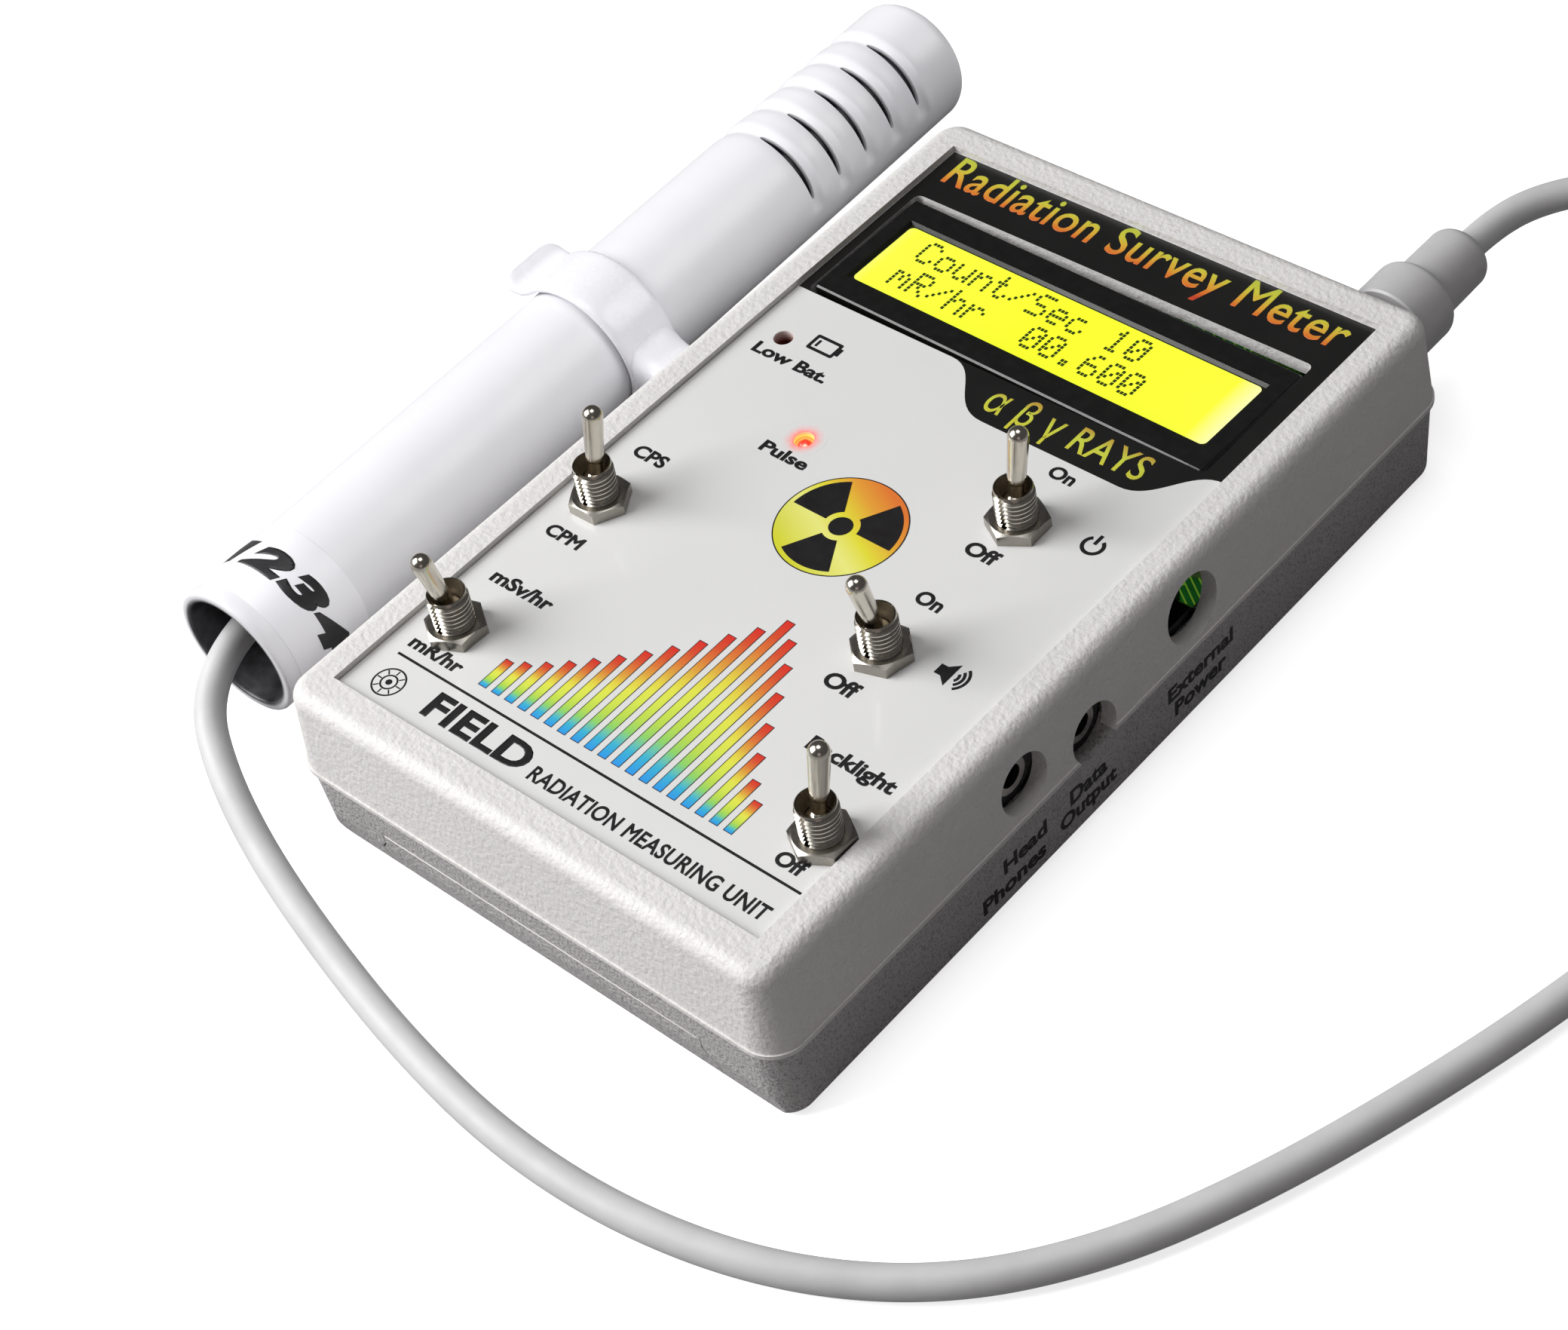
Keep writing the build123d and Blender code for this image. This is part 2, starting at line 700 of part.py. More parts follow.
with BuildPart() as support_chips:
    for x, y in ((-10.0, 31.0), (8.0, 31.0)):
        with BuildSketch(Plane.XY.offset(board_top_z + 0.5)) as chip:
            with Locations((x, y)):
                Rectangle(9.6, 6.4)
        extrude(chip.sketch, amount=3.0)
        with BuildSketch(Plane.XY.offset(board_top_z)) as pins:
            with Locations((x, y)):
                with GridLocations(2.54, 7.4, 4, 2):
                    Rectangle(1.2, 1.0)
        extrude(pins.sketch, amount=2.0)
support_chips.part.label = "support_chips"
export_step(support_chips.part, "parts/support_chips.step")

with BuildPart() as high_voltage_transformer:
    with BuildSketch(Plane.XY.offset(board_top_z)):
        with Locations((-18.8, -11.0)):
            Rectangle(12.0, 12.0)
    extrude(amount=2.0)
    with BuildSketch(Plane.XY.offset(board_top_z + 2.0)):
        with Locations((-18.8, -11.0)):
            Circle(4.2)
    extrude(amount=5.0)
    with BuildSketch(Plane.XY.offset(board_top_z + 7.0)):
        with Locations((-18.8, -11.0)):
            Rectangle(12.0, 12.0)
    extrude(amount=2.0)
high_voltage_transformer.part.label = "high_voltage_transformer"
export_step(high_voltage_transformer.part, "parts/high_voltage_transformer.step")

with BuildPart() as capacitors:
    with BuildSketch(Plane.XY.offset(board_top_z)):
        with Locations((-8.0, -19.0), (0.0, -19.0), (8.0, -19.0)):
            Circle(3.15)
    extrude(amount=9.0)
    fillet(capacitors.edges().filter_by(GeomType.CIRCLE), 0.4)
capacitors.part.label = "capacitors"
export_step(capacitors.part, "parts/capacitors.step")

with BuildPart() as crystal:
    with BuildSketch(Plane.XY.offset(board_top_z)):
        with Locations((5.0, 5.0)):
            SlotOverall(11.0, 4.6)
    extrude(amount=3.6)
    fillet(crystal.faces().sort_by(Axis.Z)[-1].edges(), 0.5)
crystal.part.label = "crystal"
export_step(crystal.part, "parts/crystal.step")

with BuildPart() as contrast_trimmer:
    with BuildSketch(Plane.XY.offset(board_top_z)):
        with Locations((22.0, 31.0)):
            Rectangle(6.6, 6.6)
    extrude(amount=3.6)
    with BuildSketch(Plane.XY.offset(board_top_z + 3.6)):
        with Locations((22.0, 31.0)):
            Circle(1.9)
    extrude(amount=0.6)
contrast_trimmer.part.label = "contrast_trimmer"
export_step(contrast_trimmer.part, "parts/contrast_trimmer.step")

with BuildPart() as piezo_sounder:
    with BuildSketch(Plane.XY.offset(floor_thickness)):
        with Locations((-2.0, -4.0)):
            Circle(12.0)
    extrude(amount=5.5)
    fillet(piezo_sounder.faces().sort_by(Axis.Z)[-1].edges(), 0.8)
    with BuildSketch(Plane.XY.offset(floor_thickness + 5.5)):
        with Locations((-2.0, -4.0)):
            Circle(2.0)
    extrude(amount=-2.0, mode=Mode.SUBTRACT)
piezo_sounder.part.label = "piezo_sounder"
export_step(piezo_sounder.part, "parts/piezo_sounder.step")

# ---------------------------------------------------------------- battery
with BuildPart() as battery:
    with BuildSketch(Plane.XY.offset(door_plate + 0.3)):
        with Locations((-1.0, battery_y)):
            RectangleRounded(battery_width, battery_depth, 1.5)
    extrude(amount=battery_height)
    with BuildSketch(Plane.YZ.offset(-1.0 + battery_width / 2)):
        with Locations((battery_y, door_plate + 0.3 + battery_height / 2)):
            with GridLocations(12.7, 0, 2, 1):
                Circle(2.9)
    extrude(amount=2.0)
battery.part.label = "battery"
export_step(battery.part, "parts/battery.step")

snap_x = -1.0 + battery_width / 2 + 2.0
with BuildPart() as battery_snap:
    with BuildSketch(Plane.YZ.offset(snap_x)):
        with Locations((battery_y, door_plate + 0.3 + battery_height / 2)):
            RectangleRounded(25.0, 12.5, 2.0)
    extrude(amount=3.0)
battery_snap.part.label = "battery_snap"
export_step(battery_snap.part, "parts/battery_snap.step")

# ---------------------------------------------------------------- jacks and the probe's socket
power_y, power_z, _ = power_hole
with BuildPart() as power_jack:
    with BuildSketch(Plane.YZ.offset(25.0)):
        with Locations((power_y, (board_top_z + panel_under_z - 0.4) / 2)):
            Rectangle(9.0, panel_under_z - 0.4 - board_top_z)
    extrude(amount=13.6)
    with BuildSketch(Plane.YZ.offset(38.6)):
        with Locations((power_y, power_z)):
            Circle(3.0)
    extrude(amount=-9.0, mode=Mode.SUBTRACT)
    with BuildSketch(Plane.YZ.offset(29.0)):
        with Locations((power_y, power_z)):
            Circle(1.0)
    extrude(amount=8.6)
power_jack.part.label = "power_jack"
export_step(power_jack.part, "parts/power_jack.step")

for name, (y, z, radius) in (("data_jack", data_hole), ("headphone_jack", phone_hole)):
    with BuildPart() as jack:
        with BuildSketch(Plane.YZ.offset(28.6)):
            with Locations((y, (board_top_z + z + 3.4) / 2)):
                Rectangle(7.4, z + 3.4 - board_top_z)
        extrude(amount=12.0)
        with BuildSketch(Plane.YZ.offset(40.6)):
            with Locations((y, z)):
                Circle(3.3)
        extrude(amount=0.7)
        with BuildSketch(Plane.YZ.offset(41.3)):
            with Locations((y, z)):
                Circle(1.8)
        extrude(amount=-11.0, mode=Mode.SUBTRACT)
    jack.part.label = name
    export_step(jack.part, f"parts/{name}.step")

with BuildPart() as jack_collars:
    for y, z, radius in (data_hole, phone_hole):
        with BuildSketch(Plane.YZ.offset(41.3)) as collar:
            with Locations((y, z)):
                Circle(2.9)
                Circle(1.8, mode=Mode.SUBTRACT)
        extrude(collar.sketch, amount=0.9)
jack_collars.part.label = "jack_collars"
export_step(jack_collars.part, "parts/jack_collars.step")

socket_inner_y = 67.8
with BuildPart() as probe_socket:
    with BuildSketch(Plane.XZ.offset(-socket_inner_y + 8.4)):
        with Locations((socket_x, (board_top_z + panel_under_z) / 2)):
            Rectangle(11.0, panel_under_z - board_top_z - 0.1)
    extrude(amount=-8.4)
    with BuildSketch(Plane.XZ.offset(-socket_inner_y)):
        with Locations((socket_x, socket_z)):
            Circle(socket_barrel_radius)
    extrude(amount=-(plug_face_y - socket_inner_y))
    with BuildSketch(Plane.XZ.offset(-plug_face_y)):
        with Locations((socket_x, socket_z)):
            Circle(plug_shell_radius + screw_gap)
    extrude(amount=7.5, mode=Mode.SUBTRACT)
probe_socket.part.label = "probe_socket"
export_step(probe_socket.part, "parts/probe_socket.step")

with BuildPart() as probe_plug:
    with BuildSketch(Plane(origin=(socket_x, plug_face_y, socket_z), x_dir=(0, 1, 0), z_dir=(0, 0, 1))):
        with BuildLine():
            Polyline(
                (0, 0),
                (0, grip_radius - 0.3),
                (0.3, grip_radius),
                (grip_length - 1.4, grip_radius),
            )
            ThreePointArc(
                (grip_length - 1.4, grip_radius),
                (grip_length - 1.4 + 1.4 * sin(pi / 4), grip_radius - 1.4 + 1.4 * cos(pi / 4)),
                (grip_length, grip_radius - 1.4),
            )
            Polyline(
                (grip_length, grip_radius - 1.4),
                (grip_length, neck_radius),
                (grip_length + neck_length - 1.9, neck_radius - 0.1),
            )
            ThreePointArc(
                (grip_length + neck_length - 1.9, neck_radius - 0.1),
                (
                    grip_length + neck_length - 1.9 + 1.9 * sin(pi / 4),
                    neck_radius - 2.0 + 1.9 * cos(pi / 4),
                ),
                (grip_length + neck_length, neck_radius - 2.0),
            )
            Polyline(
                (grip_length + neck_length, neck_radius - 2.0),
                (grip_length + neck_length, 0),
                (0, 0),
            )
        make_face()
    revolve(axis=Axis((socket_x, plug_face_y, socket_z), (0, 1, 0)))
    with BuildSketch(Plane.XZ.offset(-plug_face_y)):
        with Locations((socket_x, socket_z)):
            Circle(plug_shell_radius)
            Circle(plug_shell_radius - 0.5, mode=Mode.SUBTRACT)
    extrude(amount=6.5)
    with BuildSketch(Plane.XZ.offset(-plug_face_y)):
        with Locations((socket_x, socket_z)):
            with PolarLocations(1.9, 4):
                Circle(0.4)
    extrude(amount=5.0)
probe_plug.part.label = "probe_plug"
export_step(probe_plug.part, "parts/probe_plug.step")

# ---------------------------------------------------------------- wand
with BuildPart() as wand_tube:
    with BuildSketch(wand_plane(0)):
        Circle(wand_radius)
        Circle(wand_bore, mode=Mode.SUBTRACT)
    extrude(amount=-(wand_length - end_cap_length))
    chamfer(wand_tube.faces().sort_by(Axis.Y)[0].edges(), 0.25)
    # Slots for the detector, a set on each side
    for index in range(slot_count):
        station = slot_first + slot_pitch * index
        for side in (0, 180):
            with BuildSketch(wand_plane(station + slot_width / 2)) as sector:
                with BuildLine():
                    Polyline(
                        (0, 0),
                        (25 * cos(radians(side + slot_from)), 25 * sin(radians(side + slot_from))),
                        (35 * cos(radians(side + 47)), 35 * sin(radians(side + 47))),
                        (25 * cos(radians(side + slot_to)), 25 * sin(radians(side + slot_to))),
                        close=True,
                    )
                make_face()
            extrude(sector.sketch, amount=slot_width, mode=Mode.SUBTRACT)
wand_tube.part.label = "wand_tube"
export_step(wand_tube.part, "parts/wand_tube.step")

with BuildPart() as wand_end_cap:
    with BuildSketch(wand_plane(wand_length - end_cap_length)):
        Circle(wand_radius)
    extrude(amount=-end_cap_length)
    fillet(wand_end_cap.faces().sort_by(Axis.Y)[-1].edges(), end_cap_round)
    with BuildSketch(wand_plane(wand_length - end_cap_length)):
        Circle(wand_bore - 0.05)
        Circle(wand_bore - 1.5, mode=Mode.SUBTRACT)
    extrude(amount=4.5)
wand_end_cap.part.label = "wand_end_cap"
export_step(wand_end_cap.part, "parts/wand_end_cap.step")

with BuildPart() as wand_gland:
    with BuildSketch(wand_plane(gland_station)):
        Circle(wand_bore - 0.05)
    extrude(amount=-gland_length)
wand_gland.part.label = "wand_gland"
export_step(wand_gland.part, "parts/wand_gland.step")

with BuildPart() as geiger_tube:
    with BuildSketch(wand_plane(tube_station)):
        Circle(tube_radius)
    extrude(amount=-tube_length)
    fillet(geiger_tube.faces().sort_by(Axis.Y)[0].edges(), 1.2)
    with BuildSketch(wand_plane(tube_station)):
        Circle(0.9)
    extrude(amount=5.0)
geiger_tube.part.label = "geiger_tube"
export_step(geiger_tube.part, "parts/geiger_tube.step")

with BuildPart() as tube_window:
    with BuildSketch(wand_plane(tube_station + tube_length)):
        Circle(tube_radius - 0.4)
    extrude(amount=-0.4)
tube_window.part.label = "tube_window"
export_step(tube_window.part, "parts/tube_window.step")

with BuildPart() as tube_rings:
    for station in (tube_station + 2.0, tube_station + tube_length - 5.0):
        with BuildSketch(wand_plane(station)) as ring:
            Circle(wand_bore - 0.05)
            Circle(tube_radius + 0.05, mode=Mode.SUBTRACT)
        extrude(ring.sketch, amount=-3.0)
tube_rings.part.label = "tube_rings"
export_step(tube_rings.part, "parts/tube_rings.step")

# ---------------------------------------------------------------- spring clip
clip_inner = wand_radius + clip_gap
clip_outer = clip_inner + clip_thickness
open_angle = radians(180 - clip_open)
lip_radius = 3.2
lip_bend = 75
lip_centre = clip_inner + clip_thickness + lip_radius
neck_reach = clip_face_x - wand_plane(clip_station).origin.X

with BuildPart() as spring_clip:
    with BuildSketch(wand_plane(clip_station - clip_width / 2)):
        # Ring, open on the far side, with lips that curl outwards
        Circle(clip_outer)
        with BuildLine():
            Polyline(
                (clip_inner - 2, 3.4),
                (clip_outer + 1.5, 2.3),
                (neck_reach - 1.6, 2.2),
                (neck_reach + 0.6, 3.9),
                (neck_reach + 0.6, -3.9),
                (neck_reach - 1.6, -2.2),
                (clip_outer + 1.5, -2.3),
                (clip_inner - 2, -3.4),
                close=True,
            )
        make_face()
        Circle(clip_inner, mode=Mode.SUBTRACT)
        with BuildLine():
            Polyline(
                (0, 0),
                (40 * cos(open_angle), 40 * sin(open_angle)),
                (-40, 40 * sin(open_angle)),
                (-40, -40 * sin(open_angle)),
                (40 * cos(open_angle), -40 * sin(open_angle)),
                close=True,
            )
        make_face(mode=Mode.SUBTRACT)
        for side in (1, -1):
            with BuildLine():
                lip_x = lip_centre * cos(open_angle)
                lip_y = lip_centre * sin(open_angle)
                start = radians(360 - clip_open)
                bend = radians(-lip_bend)
                near = []
                far = []
                for step in range(3):
                    angle = start + bend * step / 2
                    for arc, radius in ((near, lip_radius), (far, lip_radius + clip_thickness)):
                        arc.append((lip_x + radius * cos(angle), side * (lip_y + radius * sin(angle))))
                ThreePointArc(*near)
                Line(near[2], far[2])
                ThreePointArc(*reversed(far))
                Line(far[0], near[0])
            make_face()
    extrude(amount=-clip_width)
    split(bisect_by=Plane.YZ.offset(clip_face_x), keep=Keep.BOTTOM)
    # Countersunk screw hole through the neck
    with BuildSketch(clip_screw_plane(clip_inner - 0.5)):
        Circle(2.5)
    extrude(amount=1.9, mode=Mode.SUBTRACT)
    with BuildSketch(clip_screw_plane(clip_inner)):
        Circle(clip_screw_radius + screw_gap)
    extrude(amount=20, mode=Mode.SUBTRACT)
spring_clip.part.label = "spring_clip"
export_step(spring_clip.part, "parts/spring_clip.step")

with BuildPart() as clip_screw:
    with BuildSketch(clip_screw_plane(clip_inner + 0.1)):
        Circle(2.4)
    extrude(amount=1.3)
    with BuildSketch(clip_screw_plane(clip_inner + 0.1)):
        Circle(clip_screw_radius)
    extrude(amount=neck_reach - clip_inner + 7.5)
    with BuildSketch(clip_screw_plane(clip_inner + 0.1)):
        Rectangle(3.0, 0.6)
        Rectangle(0.6, 3.0)
    extrude(amount=0.8, mode=Mode.SUBTRACT)
clip_screw.part.label = "clip_screw"
export_step(clip_screw.part, "parts/clip_screw.step")

with BuildPart() as clip_nut:
    with BuildSketch(clip_screw_plane(neck_reach + 4.65)):
        RegularPolygon(2.3, 6, major_radius=False)
        Circle(clip_screw_radius + screw_gap, mode=Mode.SUBTRACT)
    extrude(amount=1.8)
clip_nut.part.label = "clip_nut"
export_step(clip_nut.part, "parts/clip_nut.step")

# ---------------------------------------------------------------- probe lead
gland_face = wand_plane(gland_station)
points = [
    gland_face.from_local_coords(Vector(*cord_exit, 0)),
    gland_face.from_local_coords(Vector(*cord_exit, 7.6)),
    *[Vector(*place) for place in cord_route],
]
runs = [end - start for start, end in zip(points, points[1:])]
bend_radii = []
for before, after in zip(runs, runs[1:]):
    half_turn = radians(before.get_angle(after)) / 2
    bend_radii.append(0.45 * min(before.length, after.length) / tan(half_turn))

with BuildPart() as probe_cord:
    with BuildLine() as route:
        FilletPolyline(*points, radius=bend_radii)
    with BuildSketch(Plane(origin=points[0], z_dir=runs[0])):
        Circle(cord_radius)
    sweep()
probe_cord.part.label = "probe_cord"
export_step(probe_cord.part, "parts/probe_cord.step")

cord_length = sum(edge.length for edge in route.edges())
section = pi * cord_radius**2
print("lead: length", round(cord_length, 1))
print("lead: volume over section", round(probe_cord.part.volume / section, 1))
print("lead: bend radii", [round(radius, 1) for radius in bend_radii])
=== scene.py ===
"""Looks of the hand-held geiger counter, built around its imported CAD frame.

Metres, in the frame's own axes: +Z up out of the face panel, +Y towards the display end and +X
towards the side with the jacks. Lengths are written in millimetres times mm.
"""

from math import copysign, cos, exp, pi, radians, sin, tan

import bmesh
import bpy
from mathutils import Matrix, Vector
from mathutils.geometry import tessellate_polygon


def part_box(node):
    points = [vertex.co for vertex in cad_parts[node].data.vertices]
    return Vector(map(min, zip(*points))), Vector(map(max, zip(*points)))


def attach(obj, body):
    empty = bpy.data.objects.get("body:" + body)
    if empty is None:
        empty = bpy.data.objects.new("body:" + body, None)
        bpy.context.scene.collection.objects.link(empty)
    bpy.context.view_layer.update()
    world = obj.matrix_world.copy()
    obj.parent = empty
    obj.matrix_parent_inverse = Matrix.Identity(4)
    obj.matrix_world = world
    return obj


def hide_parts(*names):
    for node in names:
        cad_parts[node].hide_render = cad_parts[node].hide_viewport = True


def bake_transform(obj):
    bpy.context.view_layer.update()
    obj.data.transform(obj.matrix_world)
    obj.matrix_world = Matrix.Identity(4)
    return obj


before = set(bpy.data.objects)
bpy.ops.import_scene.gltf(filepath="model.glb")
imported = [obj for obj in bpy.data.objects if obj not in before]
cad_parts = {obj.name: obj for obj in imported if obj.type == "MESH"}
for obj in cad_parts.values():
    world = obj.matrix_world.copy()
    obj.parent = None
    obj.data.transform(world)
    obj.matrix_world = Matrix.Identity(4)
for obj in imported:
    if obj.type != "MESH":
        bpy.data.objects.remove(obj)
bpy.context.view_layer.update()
mm = 0.001
keys = ("cps", "dose", "power", "sound", "light")
scene = bpy.context.scene
scene.view_settings.view_transform = "Standard"


# -------------------- node materials
def srgb(red, green, blue):
    """A linear colour from everyday 0 to 255 values."""
    linear = []
    for value in (red, green, blue):
        share = value / 255
        linear.append(share / 12.92 if share <= 0.04045 else ((share + 0.055) / 1.055) ** 2.4)
    return (*linear, 1.0)


class Look:
    """A node material in the making, with the nodes that most surfaces here share."""

    def __init__(self, name, roughness, **sources):
        self.material = bpy.data.materials.new(name)
        self.material.use_nodes = True
        self.tree = self.material.node_tree
        self.shader = self.tree.nodes["Principled BSDF"]
        self.surface(Roughness=roughness, **sources)
        self.place = self.node("ShaderNodeTexCoord").outputs["Object"]

    def feed(self, source, socket):
        """Links an output to a socket, or sets the socket to a plain value."""
        if hasattr(source, "links"):
            self.tree.links.new(source, socket)
        else:
            socket.default_value = source

    def surface(self, **sources):
        """Feeds the shader's own sockets, each named with underscores for its spaces."""
        for name, source in sources.items():
            self.feed(source, self.shader.inputs[name.replace("_", " ")])

    def node(self, kind, feeds=None, **settings):
        """A new node with its settings, and with its inputs fed by name or number."""
        made = self.tree.nodes.new(kind)
        for setting, value in settings.items():
            setattr(made, setting, value)
        for socket, source in (feeds or {}).items():
            self.feed(source, made.inputs[socket])
        return made

    def mapped(self, scale=(1, 1, 1), turn_z=0.0, move=(0, 0, 0)):
        """Coordinates that are scaled, then turned about z, then moved."""
        feeds = {"Scale": scale, "Rotation": (0, 0, turn_z), "Location": move, "Vector": self.place}
        return self.node("ShaderNodeMapping", feeds).outputs["Vector"]

    def noise(self, size, detail, rough=0.55, place=None):
        """Noise whose features are about that size in metres."""
        feeds = {"Scale": 1 / size, "Detail": detail, "Roughness": rough, "Vector": place or self.place}
        return self.node("ShaderNodeTexNoise", feeds).outputs["Fac"]

    def distance(self, point):
        """The distance from a point, in metres."""
        feeds = {0: self.place, 1: point}
        return self.node("ShaderNodeVectorMath", feeds, operation="DISTANCE").outputs["Value"]

    def axis(self, letter, place=None):
        """One coordinate, in metres."""
        return self.node("ShaderNodeSeparateXYZ", {"Vector": place or self.place}).outputs[letter]

    def span(self, value, low, high, to_low=0.0, to_high=1.0):
        """A value from low to high mapped onto to_low to to_high."""
        feeds = {"From Min": low, "From Max": high, "To Min": to_low, "To Max": to_high, "Value": value}
        return self.node("ShaderNodeMapRange", feeds).outputs["Result"]

    def ramp(self, factor, stops):
        """A colour along stops of (position, colour)."""
        made = self.node("ShaderNodeValToRGB", {"Fac": factor})
        elements = made.color_ramp.elements
        while len(elements) < len(stops):
            elements.new(0.5)
        for element, (position, colour) in zip(elements, stops):
            element.position = position
            element.color = colour
        return made.outputs["Color"]

    def mix(self, factor, first, second, blend="MIX"):
        """Two colours mixed. Sockets 6 and 7 are the node's colours."""
        feeds = {0: factor, 6: first, 7: second}
        return self.node("ShaderNodeMix", feeds, data_type="RGBA", blend_type=blend).outputs[2]

    def combine(self, operation, first, second):
        """Two values put through a sum."""
        return self.node("ShaderNodeMath", {0: first, 1: second}, operation=operation).outputs["Value"]

    def bump(self, height, distance, strength=1.0, under=None):
        """A normal bent by a height, on top of the normal under it."""
        made = self.node("ShaderNodeBump", {"Distance": distance, "Strength": strength, "Height": height})
        if under is not None:
            self.feed(under, made.inputs["Normal"])
        return made.outputs["Normal"]

    def mottled(self, size, detail, dark, light, low=0.3, high=0.7):
        """A colour that drifts between two over patches of about that size."""
        return self.ramp(self.noise(size, detail), [(low, dark), (high, light)])

    def drift(self, size, detail, least, most):
        """A value that drifts between two over patches of about that size."""
        return self.span(self.noise(size, detail), 0.3, 0.7, least, most)

    def grain(self, size, detail, depth, strength=1.0):
        """A normal made uneven by noise of that size and depth."""
        return self.bump(self.noise(size, detail), depth, strength)


def shade(colour, share):
    """A colour made lighter or darker by a share."""
    return (*(min(1.0, channel * (1 + share)) for channel in colour[:3]), 1.0)


def moulded(name, colour, roughness, mottle=0.05, patch=6 * mm, grain=0.5 * mm, depth=0.015 * mm, **sockets):
    """Moulded plastic or rubber: faint mottling, uneven gloss and a fine surface grain."""
    look = Look(name, roughness, **sockets)
    look.surface(
        Base_Color=look.mottled(patch, 4, shade(colour, -mottle), shade(colour, mottle)),
        Roughness=look.drift(patch / 3, 2, roughness - 0.05, roughness + 0.06),
        Normal=look.grain(grain, 3, depth),
    )
    return look.material


def case_plastic(name, colour, speckle, grain, deep):
    """Textured ABS: a leathery grain of small cells, with fine darker speckles."""
    look = Look(name, 0.5)
    wrinkles = look.noise(grain, 3, 0.5)
    fine = look.noise(0.3 * mm, 3, 0.6)
    spots = look.span(look.noise(0.36 * mm, 2, 0.6), 0.5, 0.66)
    base = look.mottled(14 * mm, 3, shade(colour, -0.025), shade(colour, 0.02))
    look.surface(
        Base_Color=look.mix(spots, base, shade(colour, speckle)),
        Roughness=look.span(fine, 0.3, 0.7, 0.42, 0.6),
        Normal=look.bump(fine, 0.03 * mm, 0.6, look.bump(wrinkles, deep)),
    )
    return look.material


def label_film():
    """The printed label's film: even, satin, with a barely seen waviness and a clear coat."""
    colour = srgb(226, 226, 225)
    look = Look("label_film", 0.38, Coat_Weight=0.35, Coat_Roughness=0.12)
    look.surface(
        Base_Color=look.mottled(30 * mm, 3, shade(colour, -0.018), shade(colour, 0.01)),
        Roughness=look.drift(9 * mm, 3, 0.33, 0.43),
        Normal=look.grain(5 * mm, 2, 0.02 * mm, 0.5),
    )
    return look.material


def ink(name, colour, roughness=0.42):
    """Printing ink: flat colour with the faint unevenness of a screen print."""
    look = Look(name, roughness)
    look.surface(
        Base_Color=look.mottled(1.2 * mm, 3, shade(colour, -0.12), shade(colour, 0.12)),
        Roughness=look.drift(2.5 * mm, 2, roughness - 0.05, roughness + 0.05),
        Normal=look.grain(0.5 * mm, 2, 0.004 * mm),
    )
    return look.material


def plated(name, colour, roughness, smudge=0.08, metallic=1.0, marks=0.002 * mm):
    """Bright plating, with faint smudges and fine turning marks."""
    look = Look(name, roughness, Metallic=metallic)
    look.surface(
        Base_Color=look.mottled(1.6 * mm, 3, shade(colour, -smudge), colour),
        Roughness=look.span(look.noise(0.8 * mm, 2), 0.35, 0.7, roughness, roughness + 0.06),
        Normal=look.bump(look.noise(0.25 * mm, 2, 0.5, look.mapped((0.15, 0.15, 1))), marks, 0.4),
    )
    return look.material


# -------------------- mesh helpers
def piece(name, shape, material, body, smooth=None):
    """An object that rides on a body. Its shape is a bmesh or a mesh; smooth is the angle, in
    degrees, under which its faces blend."""
    mesh = shape if isinstance(shape, bpy.types.Mesh) else finished(name, shape)
    made = bpy.data.objects.new(name, mesh)
    scene.collection.objects.link(made)
    mesh.materials.append(material)
    if smooth is not None:
        mesh.shade_smooth()
        mesh.set_sharp_from_angle(angle=radians(smooth))
    if body:
        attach(made, body)
    return made


def plate(work, loops, low, high, at):
    """Adds a closed flat plate: the first loop is its outline and the rest are holes."""
    flat = [[Vector((x, y, 0)) for x, y in loop] for loop in loops]
    triangles = tessellate_polygon(flat)
    corners = [corner for loop in flat for corner in loop]
    bottoms = [work.verts.new(at @ Vector((c.x, c.y, low))) for c in corners]
    tops = [work.verts.new(at @ Vector((c.x, c.y, high))) for c in corners]
    for a, b, c in triangles:
        work.faces.new((tops[a], tops[b], tops[c]))
        work.faces.new((bottoms[c], bottoms[b], bottoms[a]))
    first = 0
    for loop in flat:
        count = len(loop)
        for i in range(count):
            a, b = first + i, first + (i + 1) % count
            work.faces.new((bottoms[a], bottoms[b], tops[b], tops[a]))
        first += count


def finished(name, work):
    """The mesh of a bmesh, with its faces turned outwards."""
    bmesh.ops.recalc_face_normals(work, faces=work.faces)
    mesh = bpy.data.meshes.new(name)
    work.to_mesh(mesh)
    work.free()
    return mesh


def circle(x, y, radius, count=48, start=0.0, sweep=2 * pi):
    """Points round a circle, or along a stretch of it."""
    steps = count if sweep == 2 * pi else count + 1
    return [
        (x + radius * cos(start + sweep * i / count), y + radius * sin(start + sweep * i / count))
        for i in range(steps)
    ]


def square_box(x0, y0, x1, y1, grow=0.0):
    """The corners of a rectangle, let out by grow."""
    return [(x0 - grow, y0 - grow), (x1 + grow, y0 - grow), (x1 + grow, y1 + grow), (x0 - grow, y1 + grow)]


def rounded_box(x0, y0, x1, y1, radius, count=6):
    """Points round a rectangle with round corners."""
    points = []
    for cx, cy, start in ((x1, y1, 0), (x0, y1, 90), (x0, y0, 180), (x1, y0, 270)):
        middle_x = cx - radius if cx == x1 else cx + radius
        middle_y = cy - radius if cy == y1 else cy + radius
        points += circle(middle_x, middle_y, radius, count, radians(start), pi / 2)
    return points


def top_middle(node):
    """The middle of the top of a CAD node's box."""
    low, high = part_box(node)
    return (low.x + high.x) / 2, (low.y + high.y) / 2, high.z


